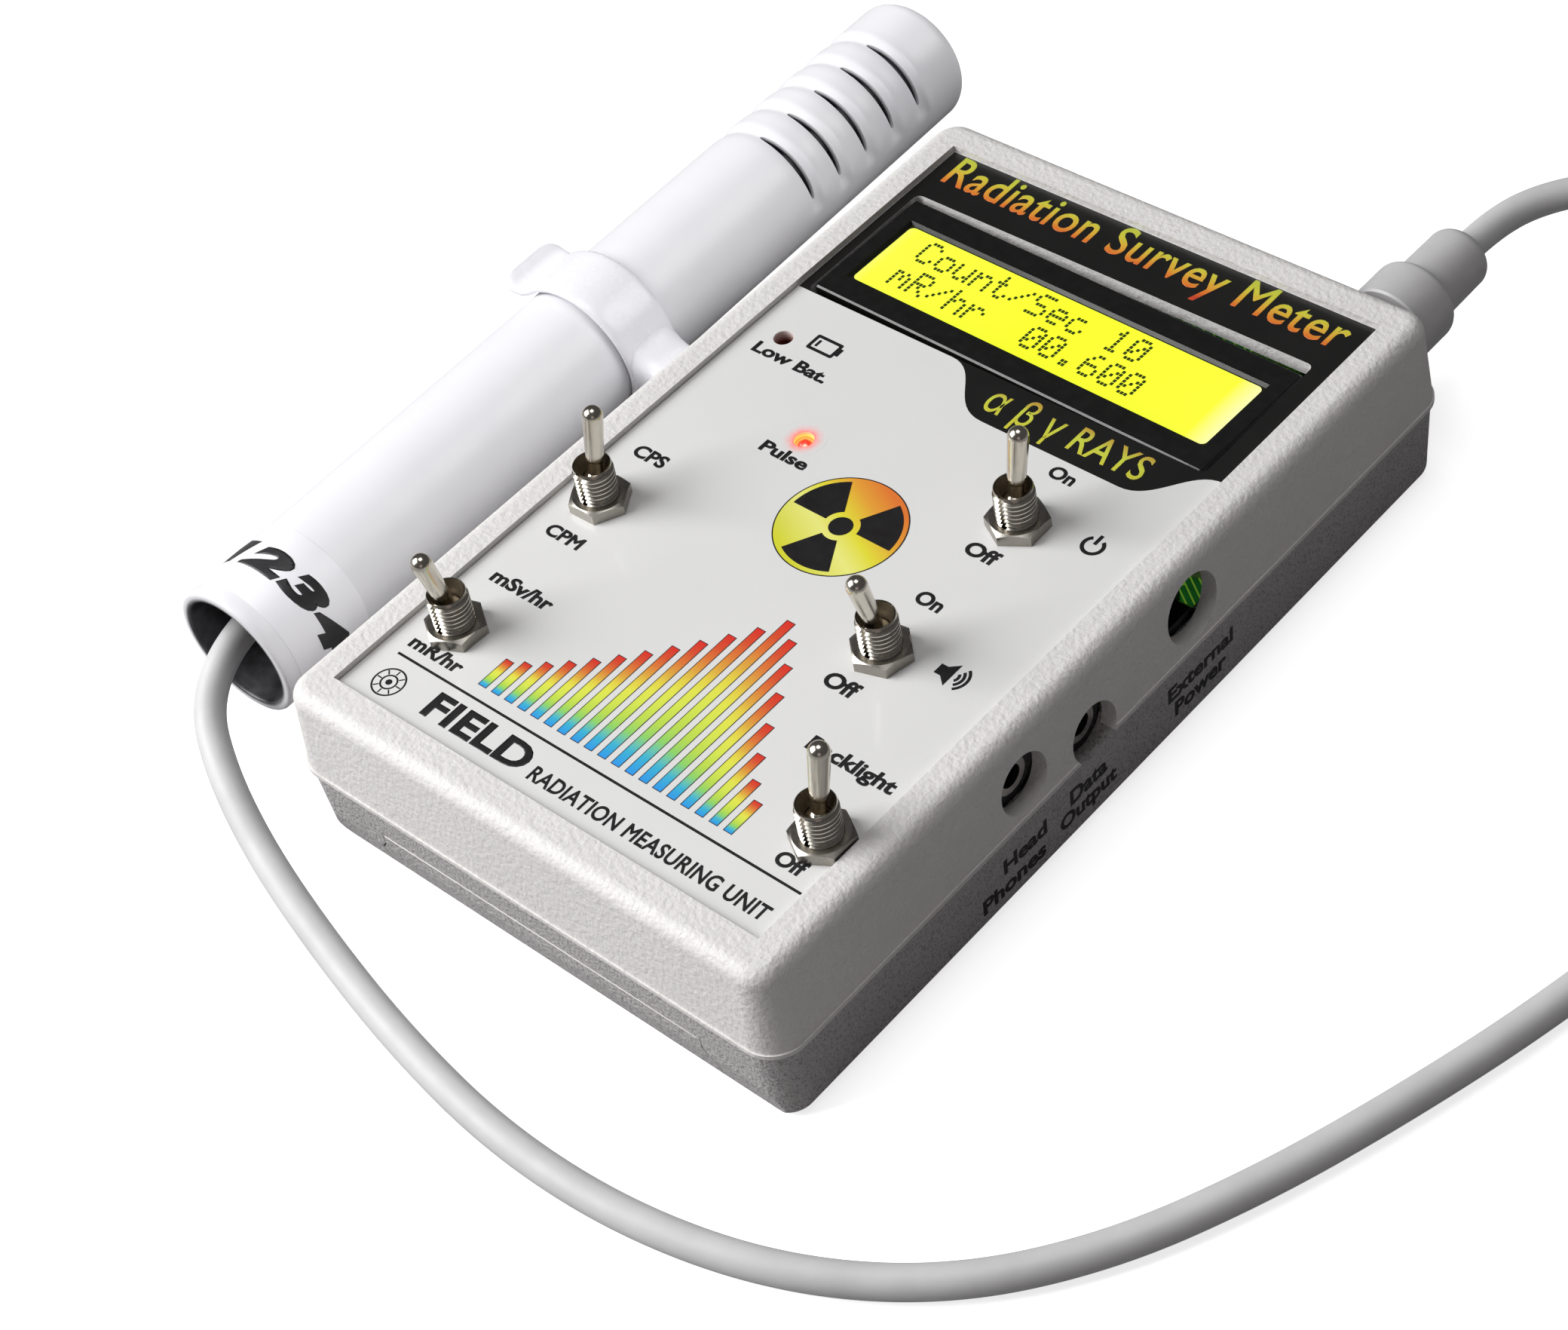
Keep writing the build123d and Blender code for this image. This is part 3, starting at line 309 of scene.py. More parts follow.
def bezier(start, leave, arrive, end):
    """Points along a cubic curve, its first one left out."""
    count, points = 16, []
    for i in range(1, count + 1):
        t = i / count
        weights = ((1 - t) ** 3, 3 * t * (1 - t) ** 2, 3 * t * t * (1 - t), t ** 3)
        pulls = list(zip(weights, (start, leave, arrive, end)))
        points.append(tuple(sum(weight * pull[k] for weight, pull in pulls) for k in (0, 1)))
    return points


def skin(work, rings, closed=False):
    """Adds the faces between rings of points, with end caps unless the rings close up."""
    for first, second in list(zip(rings, rings[1:])) + ([(rings[-1], rings[0])] if closed else []):
        for i in range(len(first)):
            j = (i + 1) % len(first)
            work.faces.new((first[i], first[j], second[j], second[i]))
    if not closed:
        work.faces.new(rings[0])
        work.faces.new(rings[-1][::-1])


def turned(work, profile, origin, along=Vector((0, 0, 1)), segments=48):
    """Adds the closed surface that a profile of (radius, height), in millimetres, makes round an axis."""
    side = along.orthogonal().normalized()
    other = along.cross(side)
    rings = []
    for radius, height in profile:
        ring = []
        for sideways, otherways in circle(0, 0, radius, segments):
            reach = along * height + side * sideways + other * otherways
            ring.append(work.verts.new(Vector(origin) + reach * mm))
        rings.append(ring)
    skin(work, rings, closed=True)


def joined(work, mesh):
    """Adds a mesh to a bmesh and drops the mesh."""
    work.from_mesh(mesh)
    bpy.data.meshes.remove(mesh)


def lettering(words, slant=0.0, spacing=1.0, weight=0.0):
    """A mesh of words from x 0, standing on y 0, and its width. Weight thickens the strokes."""
    curve = bpy.data.curves.new("words", "FONT")
    curve.body = words
    curve.size = 1.0
    curve.shear = slant
    curve.space_character = spacing
    curve.resolution_u = 4
    curve.extrude = 0.5
    curve.bevel_depth = weight / 2
    curve.bevel_resolution = 0
    holder = bpy.data.objects.new("words", curve)
    mesh = bpy.data.meshes.new_from_object(holder)
    bpy.data.objects.remove(holder)
    bpy.data.curves.remove(curve)
    xs = [v.co.x for v in mesh.vertices]
    mesh.transform(Matrix.Translation((-min(xs), weight / 2, 0)))
    return mesh, max(xs) - min(xs)


cap_height = max(v.co.y for v in lettering("H")[0].vertices)


# -------------------- camera, light and floor
def camera():
    """Looks down at the front right corner, rolled a little."""
    azimuth, elevation, roll = radians(50.52), radians(46.14), radians(12.35)
    forward = Vector((-sin(azimuth) * cos(elevation), cos(azimuth) * cos(elevation), -sin(elevation)))
    level = forward.cross(Vector((0, 0, 1))).normalized()
    upright = level.cross(forward)
    right = level * cos(roll) - upright * sin(roll)
    up = upright * cos(roll) + level * sin(roll)
    data = bpy.data.cameras.new("camera")
    data.sensor_width = 36
    data.lens = 74.7
    data.clip_start = 10 * mm
    data.clip_end = 20
    made = bpy.data.objects.new("camera", data)
    turn = Matrix((right, up, -forward)).transposed().to_4x4()
    made.matrix_world = Matrix.Translation((238.7 * mm, -217.3 * mm, 335.8 * mm)) @ turn
    scene.collection.objects.link(made)
    scene.camera = made


def area_light(name, place, target, size, power):
    data = bpy.data.lights.new(name, "AREA")
    data.size = size
    data.energy = power
    made = bpy.data.objects.new(name, data)
    made.location = place
    made.rotation_mode = "QUATERNION"
    made.rotation_quaternion = (Vector(place) - Vector(target)).to_track_quat("Z", "Y")
    scene.collection.objects.link(made)
    return made


def studio():
    """A soft key from the front left, a weaker top light, a faint fill, and a pale floor."""
    area_light("key", (-0.66, -0.56, 0.66), (0, 0, 0), 0.8, 15.6)
    area_light("top", (0.0, 0.05, 1.1), (0, 0, 0), 0.5, 2.75)
    warm = area_light("fill", (0.75, -0.75, 0.45), (0, 0, 0.01), 0.5, 0.27)
    warm.data.color = (1.0, 0.8, 0.82)
    world = bpy.data.worlds.new("studio")
    world.use_nodes = True
    scene.world = world
    tree = world.node_tree
    seen = tree.nodes.new("ShaderNodeLightPath").outputs["Is Camera Ray"]
    tone = tree.nodes.new("ShaderNodeMix")
    tone.data_type = "RGBA"
    tone.inputs[6].default_value = (0.084, 0.081, 0.083, 1)
    tone.inputs[7].default_value = (0.92, 0.92, 0.92, 1)
    tree.links.new(seen, tone.inputs[0])
    tree.links.new(tone.outputs[2], tree.nodes["Background"].inputs["Color"])
    look = Look("floor_paper", 0.9, Emission_Color=(1, 1, 1, 1))
    paper = look.mottled(60 * mm, 3, srgb(249, 249, 249), srgb(253, 253, 253))
    first_seen = look.node("ShaderNodeLightPath").outputs["Is Camera Ray"]
    look.surface(
        Base_Color=look.mix(first_seen, (0.34, 0.34, 0.34, 1), paper),
        Normal=look.grain(0.8 * mm, 3, 0.01 * mm),
        Emission_Strength=look.span(first_seen, 0, 1, 0, 0.74),
    )
    work = bmesh.new()
    bmesh.ops.create_grid(work, x_segments=8, y_segments=8, size=4.0)
    floor = bpy.data.objects.new("floor", finished("floor", work))
    floor.data.materials.append(look.material)
    floor.location = (0, 0, -0.2 * mm)
    scene.collection.objects.link(floor)


def wand_light(*lit):
    """A soft light from behind on the right that falls on the white wand and its clip alone."""
    glow = area_light("wand_glow", (0.42, 0.5, 0.62), (-0.07, 0.02, 0.01), 0.5, 3.3)
    only = bpy.data.collections.new("wand_glow_receivers")
    for thing in lit:
        only.objects.link(thing)
    glow.light_linking.receiver_collection = only


camera()
studio()

# -------------------- probe lead
# The lead leaves the wand's open end, lies on the table round the front and right of the case
# and goes into the plug at the back.
lying = 2.35
lead_radius = lying * mm
lead_route = [tuple(value * mm for value in point) for point in (
    (-70.963, -53.21, 14.43), (-70.728, -60.806, 14.43), (-67.4, -70.9, 10.8), (-58.3, -76.9, 7.0),
    (-44.7, -82.4, 3.8), (-26.9, -87.6, lying), (-6.0, -92.7, lying), (16.0, -95.9, lying),
    (38.0, -94.9, lying), (58.5, -89.3, lying), (75.6, -78.7, lying), (88.2, -63.5, lying),
    (97.3, -45.0, lying), (104.4, -25.3, lying), (110.4, -5.2, lying), (115.2, 17.0, lying),
    (118.4, 41.0, lying), (119.2, 66.0, lying), (115.8, 90.5, lying), (107.0, 112.0, lying),
    (92.0, 128.0, 5.2), (73.0, 133.5, 11.2), (57.5, 127.5, 17.2), (45.5, 117.5, 20.8),
    (37.8, 108.4, 21.3), (34.6, 99.6, 21.1), (34.6, 92.3, 21.1),
)]


def lead_curve(radius):
    """The route as one smooth curve, as thick as radius."""
    curve = bpy.data.curves.new("probe_lead", "CURVE")
    curve.dimensions = "3D"
    curve.resolution_u = 16
    curve.bevel_depth = radius
    curve.bevel_resolution = 8
    curve.use_fill_caps = radius > 0
    spline = curve.splines.new("NURBS")
    spline.points.add(len(lead_route) - 1)
    for point, place in zip(spline.points, lead_route):
        point.co = (*place, 1)
    spline.order_u = 3
    spline.use_endpoint_u = True
    holder = bpy.data.objects.new("probe_lead", curve)
    mesh = bpy.data.meshes.new_from_object(holder)
    bpy.data.objects.remove(holder)
    bpy.data.curves.remove(curve)
    return mesh


def lead_sheath():
    """Grey vinyl sheath: matte, with faint scuffs and dust along it."""
    colour = srgb(204, 204, 205)
    look = Look("lead_sheath", 0.5, Coat_Weight=0.06, Coat_Roughness=0.35)
    look.surface(
        Base_Color=look.mottled(9 * mm, 4, shade(colour, -0.08), shade(colour, 0.03)),
        Roughness=look.drift(3 * mm, 3, 0.46, 0.6),
        Normal=look.grain(1.5 * mm, 3, 0.03 * mm, 0.6),
    )
    return look.material


def probe_lead():
    line = lead_curve(0)
    bpy.data.meshes.remove(line)
    lead = piece("probe_lead", lead_curve(lead_radius), lead_sheath(), None, 60)
    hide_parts("probe_cord")
    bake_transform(lead)


probe_lead()

# -------------------- label graphics
label_corner, label_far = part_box("face_label")
label_top = label_far.z
on_label = Matrix.Translation((label_corner.x, label_corner.y, label_top)) @ Matrix.Scale(mm, 4)
# Layers of ink: from and to, in millimetres above the label.
ink_layer, edge_layer, over_layer = (-0.02, 0.02), (0.0, 0.03), (0.02, 0.05)
legend_black = ink("legend_ink", srgb(22, 20, 22))


def printed(work, *loops, layer=ink_layer):
    """Adds ink on the label: an outline, in millimetres from the label's corner, and its holes."""
    plate(work, loops, *layer, on_label)


def label_span(look, letter, low, high, *to):
    """A place's share of the way along the label's X or Y, from low to high in millimetres."""
    corner = label_corner.x if letter == "X" else label_corner.y
    return look.span(look.axis(letter), corner + low * mm, corner + high * mm, *to)


def graded_ink(name, low, high, stops):
    """Ink whose colour runs up the label, from low to high in millimetres."""
    look = Look(name, 0.4)
    wavering = look.combine("ADD", label_span(look, "Y", low, high), look.drift(1.5 * mm, 2, -0.03, 0.03))
    look.surface(Base_Color=look.ramp(wavering, stops), Normal=look.grain(0.5 * mm, 2, 0.004 * mm))
    return look.material


def black_field():
    """The black band behind the display, with its hanging tab and the display's window."""
    left, right, band_foot, tab_foot, top = 0.1, 77.1, 94.9, 86.7, 131.1
    outline = [(left, band_foot), (29.5, band_foot)]
    outline += bezier((29.5, band_foot), (35.0, band_foot), (35.2, tab_foot), (41.5, tab_foot))
    outline += [(65.5, tab_foot)]
    outline += bezier((65.5, tab_foot), (71.2, tab_foot), (71.8, band_foot), (right, band_foot))
    outline += [(right, top), (left, top)]
    work = bmesh.new()
    printed(work, outline, rounded_box(1.7, 95.0, 73.7, 120.4, 1.0))
    look = Look("band_ink", 0.38, Coat_Weight=0.1, Coat_Roughness=0.2)
    look.surface(
        Base_Color=look.mottled(8 * mm, 3, srgb(14, 14, 13), srgb(22, 21, 20)),
        Normal=look.grain(3 * mm, 2, 0.01 * mm),
    )
    piece("label_black_band", work, look.material, "case")


def words_group(name, material, lines, layer=ink_layer, at=on_label):
    """One piece of several words. Each line is words, x0, x1, base, top of its capitals, and a style."""
    low, high = layer
    work = bmesh.new()
    for words, x0, x1, y0, y1, style in lines:
        mesh, width = lettering(words, **style)
        tall = cap_height + style["weight"]
        scale = Matrix.Diagonal(((x1 - x0) / width, (y1 - y0) / tall, high - low, 1))
        mesh.transform(at @ Matrix.Translation((x0, y0, (low + high) / 2)) @ scale)
        joined(work, mesh)
    piece(name, work, material, "case")


def label_words():
    bold = {"weight": 0.075}
    words_group("label_legends", legend_black, [
        ("Low Bat.", 3.3, 17.2, 80.45, 82.75, bold),
        ("Pulse", 18.2, 26.7, 65.4, 67.6, bold),
        ("On", 55.7, 60.0, 83.1, 85.5, bold),
        ("Off", 55.3, 60.7, 65.4, 68.0, bold),
        ("On", 55.6, 60.0, 54.7, 57.2, bold),
        ("Off", 55.0, 60.5, 36.6, 39.3, bold),
        ("CPS", 3.4, 9.3, 54.7, 57.1, bold),
        ("CPM", 3.8, 10.4, 36.3, 38.6, bold),
        ("mSv/hr", 3.8, 15.1, 25.5, 27.9, bold),
        ("mR/hr", 3.2, 12.9, 10.3, 12.6, bold),
        ("Backlight", 60.7, 75.2, 27.0, 29.5, bold),
        ("Off", 69.8, 74.5, 10.4, 12.8, bold),
        ("FIELD", 13.6, 32.4, 2.5, 7.0, {"weight": 0.07, "spacing": 1.02}),
        ("RADIATION MEASURING UNIT", 33.8, 75.2, 2.5, 5.0, {"weight": 0.05, "spacing": 1.05}),
    ])
    title_ink = graded_ink("title_ink", 123.4, 131.2, [
        (0.0, srgb(196, 66, 38)), (0.2, srgb(222, 120, 44)), (0.42, srgb(220, 168, 54)),
        (0.68, srgb(204, 200, 62)), (1.0, srgb(172, 186, 54)),
    ])
    words_group("label_title", title_ink, [
        ("Radiation Survey Meter", 2.6, 74.4, 124.6, 130.9, {"weight": 0.02, "spacing": 1.05}),
    ], over_layer)
    tab_ink = graded_ink("tab_ink", 88.7, 93.7, [
        (0.0, srgb(205, 200, 60)), (0.5, srgb(200, 210, 70)), (1.0, srgb(188, 152, 60)),
    ])
    words_group("label_tab_words", tab_ink, [
        ("α β γ RAYS", 39.5, 67.0, 88.8, 93.6, {"weight": 0.015, "spacing": 1.05}),
    ], over_layer)


def label_icons():
    """The rule, the battery, power and loudspeaker symbols and a ring mark, all in black."""
    work = bmesh.new()

    def arc_band(x, y, radius, width, start, sweep):
        outer = circle(x, y, radius + width / 2, 24, start, sweep)
        inner = circle(x, y, radius - width / 2, 24, start, sweep)
        printed(work, outer + inner[::-1])

    rule, power_stroke = (3.2, 8.45, 76.4, 8.85), (69.27, 76.2, 69.83, 78.1)
    battery_knob, battery_level = (14.7, 86.0, 15.25, 87.6), (10.75, 86.1, 11.2, 87.5)
    for corners in (rule, power_stroke, battery_knob, battery_level):
        printed(work, square_box(*corners))
    printed(work, rounded_box(9.8, 85.2, 14.7, 88.4, 0.35), rounded_box(10.35, 85.75, 14.15, 87.85, 0.15))
    arc_band(69.55, 75.9, 1.5, 0.58, radians(125), radians(290))
    printed(work, [(66.3, 46.4), (67.4, 46.4), (68.8, 45.2), (68.8, 49.4), (67.4, 48.2), (66.3, 48.2)])
    for radius, half in ((1.0, 40), (1.7, 48), (2.4, 52)):
        arc_band(68.7, 47.3, radius, 0.44, radians(-half), radians(2 * half))
    mark = (6.1, 4.1)
    for radius in (1.2, 2.4):
        printed(work, circle(*mark, radius + 0.13), circle(*mark, radius - 0.13))
    printed(work, circle(*mark, 0.5, 24))
    for step in range(8):
        turn = Matrix.Translation((*mark, 0)) @ Matrix.Rotation(step * pi / 4, 4, "Z")
        plate(work, [square_box(1.4, -0.1, 2.2, 0.1)], *ink_layer, on_label @ turn)
    piece("label_icons", work, legend_black, "case")


def trefoil():
    """The plain radiation trefoil: a graded disc, its dark outline, three blades and a hub."""
    x, y, radius = 38.4, 60.1, 9.45
    look = Look("trefoil_ink", 0.4)
    across = label_span(look, "X", 29, 48, -0.25, 0.25)
    up = label_span(look, "Y", 50.6, 69.6)
    shades = look.ramp(look.combine("ADD", up, across), [
        (0.0, srgb(214, 214, 52)), (0.35, srgb(236, 236, 130)), (0.55, srgb(228, 222, 56)),
        (0.8, srgb(230, 160, 52)), (1.0, srgb(226, 120, 48)),
    ])
    look.surface(Base_Color=shades, Normal=look.grain(0.6 * mm, 2, 0.004 * mm))
    work = bmesh.new()
    printed(work, circle(x, y, radius, 96))
    piece("label_trefoil_disc", work, look.material, "case")
    work = bmesh.new()
    printed(work, circle(x, y, radius + 0.09, 96), circle(x, y, radius - 0.09, 96), layer=edge_layer)
    printed(work, circle(x, y, 1.75), layer=over_layer)
    for start in (0, 120, 240):
        outer = circle(x, y, 8.65, 24, radians(start), pi / 3)
        inner = circle(x, y, 2.75, 12, radians(start), pi / 3)
        printed(work, outer + inner[::-1], layer=over_layer)
    piece("label_trefoil", work, legend_black, "case")


def label_bars():
    """Nineteen graded bars that rise to a peak and fall again, each with a fine outline."""
    work = bmesh.new()
    edges = bmesh.new()
    height_layer = work.loops.layers.uv.new("height")
    count, peak, bottom = 19, 11, 10.8
    first_middle, pitch, half_width = 17.4, 2.48, 0.7
    for i in range(count):
        if i <= peak:
            height = 5.4 + 26.5 * (i / peak) ** 1.35
        else:
            t = (i - peak) / (count - 1 - peak)
            height = 5.9 + 26.0 * ((1 - t) + (1 + cos(pi * t)) / 2) / 2
        middle = first_middle + pitch * i
        corners = (middle - half_width, bottom, middle + half_width, bottom + height)
        before = len(work.faces)
        printed(work, square_box(*corners))
        work.faces.ensure_lookup_table()
        for face in work.faces[before:]:
            for loop in face.loops:
                loop[height_layer].uv = (0, (loop.vert.co.y - label_corner.y - bottom * mm) / (height * mm))
        printed(edges, square_box(*corners, 0.06), square_box(*corners, -0.05), layer=edge_layer)
    look = Look("bar_ink", 0.4)
    up = look.axis("Y", look.node("ShaderNodeUVMap", uv_map="height").outputs["UV"])
    shades = look.ramp(up, [
        (0.0, srgb(44, 152, 234)), (0.1, srgb(58, 180, 212)), (0.2, srgb(140, 211, 106)),
        (0.3, srgb(187, 220, 78)), (0.42, srgb(213, 230, 80)), (0.54, srgb(228, 230, 78)),
        (0.62, srgb(229, 210, 70)), (0.7, srgb(224, 170, 64)), (0.8, srgb(222, 122, 54)),
        (0.9, srgb(216, 78, 44)), (1.0, srgb(220, 44, 36)),
    ])
    look.surface(Base_Color=shades, Normal=look.grain(0.4 * mm, 2, 0.004 * mm))
    piece("label_bars", work, look.material, "case")
    outline_ink = ink("bar_outline_ink", srgb(48, 34, 30))
    piece("label_bar_outlines", edges, outline_ink, "case")


black_field()
label_words()
label_icons()
trefoil()
label_bars()

# -------------------- side legends and lamp halo
# The lower shell's walls lean outwards from its foot up to the line where the shells meet.
wall_lean, shells_meet = radians(3), 14.2


def side_legends():
    """What each jack is for, in two lines on the sloping right wall of the lower shell."""
    wall = Matrix((
        (0, sin(wall_lean), cos(wall_lean), 44.7 - shells_meet * tan(wall_lean)),
        (1, 0, 0, 0),
        (0, cos(wall_lean), -sin(wall_lean), 0),
        (0, 0, 0, 1),
    ))
    bold = {"weight": 0.07}
    words_group("side_legends", legend_black, [
        ("External", 7.0, 21.6, 7.6, 10.5, bold),
        ("Power", 8.4, 20.0, 3.8, 6.8, bold),
        ("Data", -14.4, -6.5, 7.3, 10.4, bold),
        ("Output", -16.7, -4.6, 3.9, 6.8, bold),
        ("Head", -28.4, -19.4, 7.1, 10.0, bold),
        ("Phones", -33.0, -19.9, 3.1, 6.1, bold),
    ], (-0.03, 0.03), Matrix.Scale(mm, 4) @ wall)


def pulse_halo():
    """The pink light that the pulse lamp throws on the label round its hole, painted on as a pink colour and
    a faint glow.
    """
    x, y, _ = top_middle("pulse_lamp")
    hole, outer = 1.55, 3.4
    look = Look("painted_lamp_halo", 0.4, Coat_Weight=0.3, Coat_Roughness=0.12)
    far = look.span(look.distance((x, y, label_top)), 1.5 * mm, outer * mm)
    # Painted lamp light: pink near the hole, fading into the label's own colour.
    pink = look.ramp(look.combine("ADD", far, look.drift(1.0 * mm, 2, -0.08, 0.08)), [
        (0.0, srgb(250, 140, 130)), (0.2, srgb(244, 182, 178)), (0.5, srgb(234, 212, 211)),
        (0.85, srgb(226, 225, 224)), (1.0, srgb(226, 226, 225)),
    ])
    shine = look.ramp(far, [(0.0, srgb(255, 70, 60)), (0.3, srgb(120, 30, 26)), (0.7, (0, 0, 0, 1))])
    look.surface(
        Base_Color=pink, Emission_Color=shine, Emission_Strength=0.28,
        Normal=look.grain(1.5 * mm, 2, 0.01 * mm),
    )
    work = bmesh.new()
    at = Matrix.Translation((x, y, label_top)) @ Matrix.Scale(mm, 4)
    plate(work, [circle(0, 0, outer, 64), circle(0, 0, hole, 64)], -0.02, 0.012, at)
    piece("pulse_halo", work, look.material, "case")


def lamp_wells():
    """Liners on the walls of the two lamp holes, coloured up their height: painted shade that darkens to
    dark red towards the foot round the unlit lamp, and the lit lamp's glow painted on round the other.
    """
    painted_well_shade_and_glow = {
        "low_battery_lamp": [(0.0, srgb(52, 10, 8)), (0.3, srgb(104, 44, 38)),
                             (0.6, srgb(186, 158, 152)), (1.0, srgb(236, 226, 222))],
        "pulse_lamp": [(0.0, srgb(255, 120, 50)), (0.5, srgb(255, 196, 96)), (1.0, srgb(255, 150, 130))],
    }
    outer, inner, rim = 1.54, 1.48, -0.04
    for name, stops in painted_well_shade_and_glow.items():
        x, y, top = top_middle(name)
        foot = min(top, label_top) - 0.9 * mm
        depth = (foot - label_top) / mm
        work = bmesh.new()
        turned(work, [(outer, rim), (outer, depth), (inner, depth), (inner, rim)], (x, y, label_top))
        look = Look(f"{name}_well_painted_shade_and_glow", 0.45)
        # Colour by height: painted shade round the unlit lamp, painted lamp glow round the lit one.
        shine = look.ramp(look.span(look.axis("Z"), foot, label_top), stops)
        look.surface(Base_Color=shine, Normal=look.grain(0.6 * mm, 2, 0.01 * mm))
        # The lit lamp's well also glows: painted lamp light.
        if name == "pulse_lamp":
            look.surface(Emission_Color=shine, Emission_Strength=0.8)
        piece(f"{name}_well", work, look.material, "case", 60)


def switch_mouths():
    """The brownish, shadowed funnels round the feet of the levers."""
    work = bmesh.new()
    profile = [(2.46, -0.16), (2.1, -1.2), (1.76, -2.3), (1.72, -2.3), (2.06, -1.2), (2.42, -0.16)]
    for key in keys:
        turned(work, profile, top_middle(f"bushing_{key}"))
    look = plated("mouth_shade", (0.16, 0.125, 0.08, 1), 0.42, 0.3, 0.6)
    piece("switch_mouths", work, look, "case", 60)


def jack_fronts():
    """Black plastic seen in the jack holes: rings round two collars and the power jack's cradle."""
    work = bmesh.new()
    facing = Matrix(((0, 0, 1, 0), (1, 0, 0, 0), (0, 1, 0, 0), (0, 0, 0, 1)))
    at = Matrix.Scale(mm, 4) @ facing
    collar, ring_back, ring_front = 3.0, 41.5, 42.05
    for y, z, radius in ((-8.5, 16.9, 4.42), (-22.5, 19.9, 4.9)):
        plate(work, [circle(y, z, radius, 64), circle(y, z, collar, 64)], ring_back, ring_front, at)
    cradle = [(9.0, 14.0), (17.2, 14.0), (17.2, 16.2), (16.2, 17.3), (12.8, 17.3), (10.4, 17.3), (9.0, 16.4)]
    cradle_back, cradle_front = 38.65, 41.9
    plate(work, [cradle], cradle_back, cradle_front, at)
    look = moulded("jack_front_black", srgb(13, 13, 14), 0.3, 0.1, 3 * mm)
    piece("jack_fronts", work, look, "case", 30)


def door_edge():
    """The rounded upper edge of the battery door's front, in a paler colour than the door: a painted
    highlight along the edge that catches the light.
    """
    work = bmesh.new()
    case_front, door_inset, door_top = -72.5, 0.3, 8.25
    front = case_front + door_inset + (shells_meet - door_top) * tan(wall_lean)
    end, rings = 29.6, []
    for x in (-end, -29.2, -15, 0, 15, 29.2, end):
        ring = circle(front + 0.12, door_top - 0.03, 0.04 if abs(x) == end else 0.2, 12)
        rings.append([work.verts.new((x * mm, y * mm, z * mm)) for y, z in ring])
    skin(work, rings)
    # Paler than the lower shell: painted highlight.
    look = moulded("door_edge_painted_highlight", srgb(236, 234, 232), 0.3, 0.02, 3 * mm)
    piece("door_edge", work, look, "door", 60)


side_legends()
pulse_halo()
lamp_wells()
switch_mouths()
jack_fronts()
door_edge()

# -------------------- wand
wand_turn = radians(1.77)
wand_frame = Matrix((
    (cos(wand_turn), 0, -sin(wand_turn), -67.24),
    (sin(wand_turn), 0, cos(wand_turn), -63.6),
    (0, 1, 0, 14.83),
    (0, 0, 0, 1),
))
on_wand = Matrix.Scale(mm, 4) @ wand_frame
wand_radius, wand_bore = 10.67, 9.07
slot_stations = [119 + 6.7 * i for i in range(5)]
slot_arcs = ((8, 86), (188, 266))


def eased(value, low, high):
    """A smooth step from 0 at low to 1 at high."""
    t = min(1.0, max(0.0, (value - low) / (high - low)))
    return t * t * (3 - 2 * t)


def round_wand(angle, station, radius):
    """The place at an angle in degrees round the wand, zero towards the case and 90 on top."""
    return on_wand @ Vector((radius * cos(radians(angle)), radius * sin(radians(angle)), station))


def wand_plastic():
    """White tube: satin outside, painted shade inside in a dull dark grey."""
    look = Look("wand_white", 0.3)
    unturned = Matrix.Rotation(-wand_turn, 3, "Z")
    place = look.mapped(turn_z=-wand_turn, move=-(unturned @ (wand_frame.translation * mm)))
    squares = [look.combine("POWER", look.axis(letter, place), 2.0) for letter in ("X", "Z")]
    reach = look.combine("SQRT", look.combine("ADD", *squares), 0.0)
    outside = look.span(reach, 9.35 * mm, 9.9 * mm)
    white = look.mottled(12 * mm, 3, srgb(225, 225, 229), srgb(228, 228, 231))
    # Painted shade for the inside of the bore and slots: a mottled dark grey.
    painted_bore_shade = look.mottled(5 * mm, 4, srgb(22, 22, 24), srgb(92, 92, 96), 0.35, 0.65)
    look.surface(
        Base_Color=look.mix(outside, painted_bore_shade, white),
        Roughness=look.drift(9 * mm, 2, 0.34, 0.38),
        Normal=look.grain(3 * mm, 2, 0.006 * mm),
    )
    return look.material


def crease(angle, offset):
    """How far the wand's skin stands out beside a slot: a crease, with a lip beyond the slot."""
    angle = (angle + 60) % 360 - 60
    reach = eased(angle, -8, 6) * (1 - eased(angle, 262, 284))
    lip = (1 - eased(angle, 26, 70)) * reach
    dent = 0.62 * exp(-(abs(offset) / 1.15) ** 1.3)
    return -dent * reach + 0.3 * exp(-((offset - 1.9) / 0.75) ** 2) * (0.45 * reach + 0.75 * lip)


def slot_half(angle):
    """Half the width of a slot at an angle, pinched towards its ends."""
    for first, last in slot_arcs:
        if first <= angle <= last:
            return 0.14 + 0.52 * max(0.0, sin(pi * (angle - first) / (last - first))) ** 0.5
    return 0.14


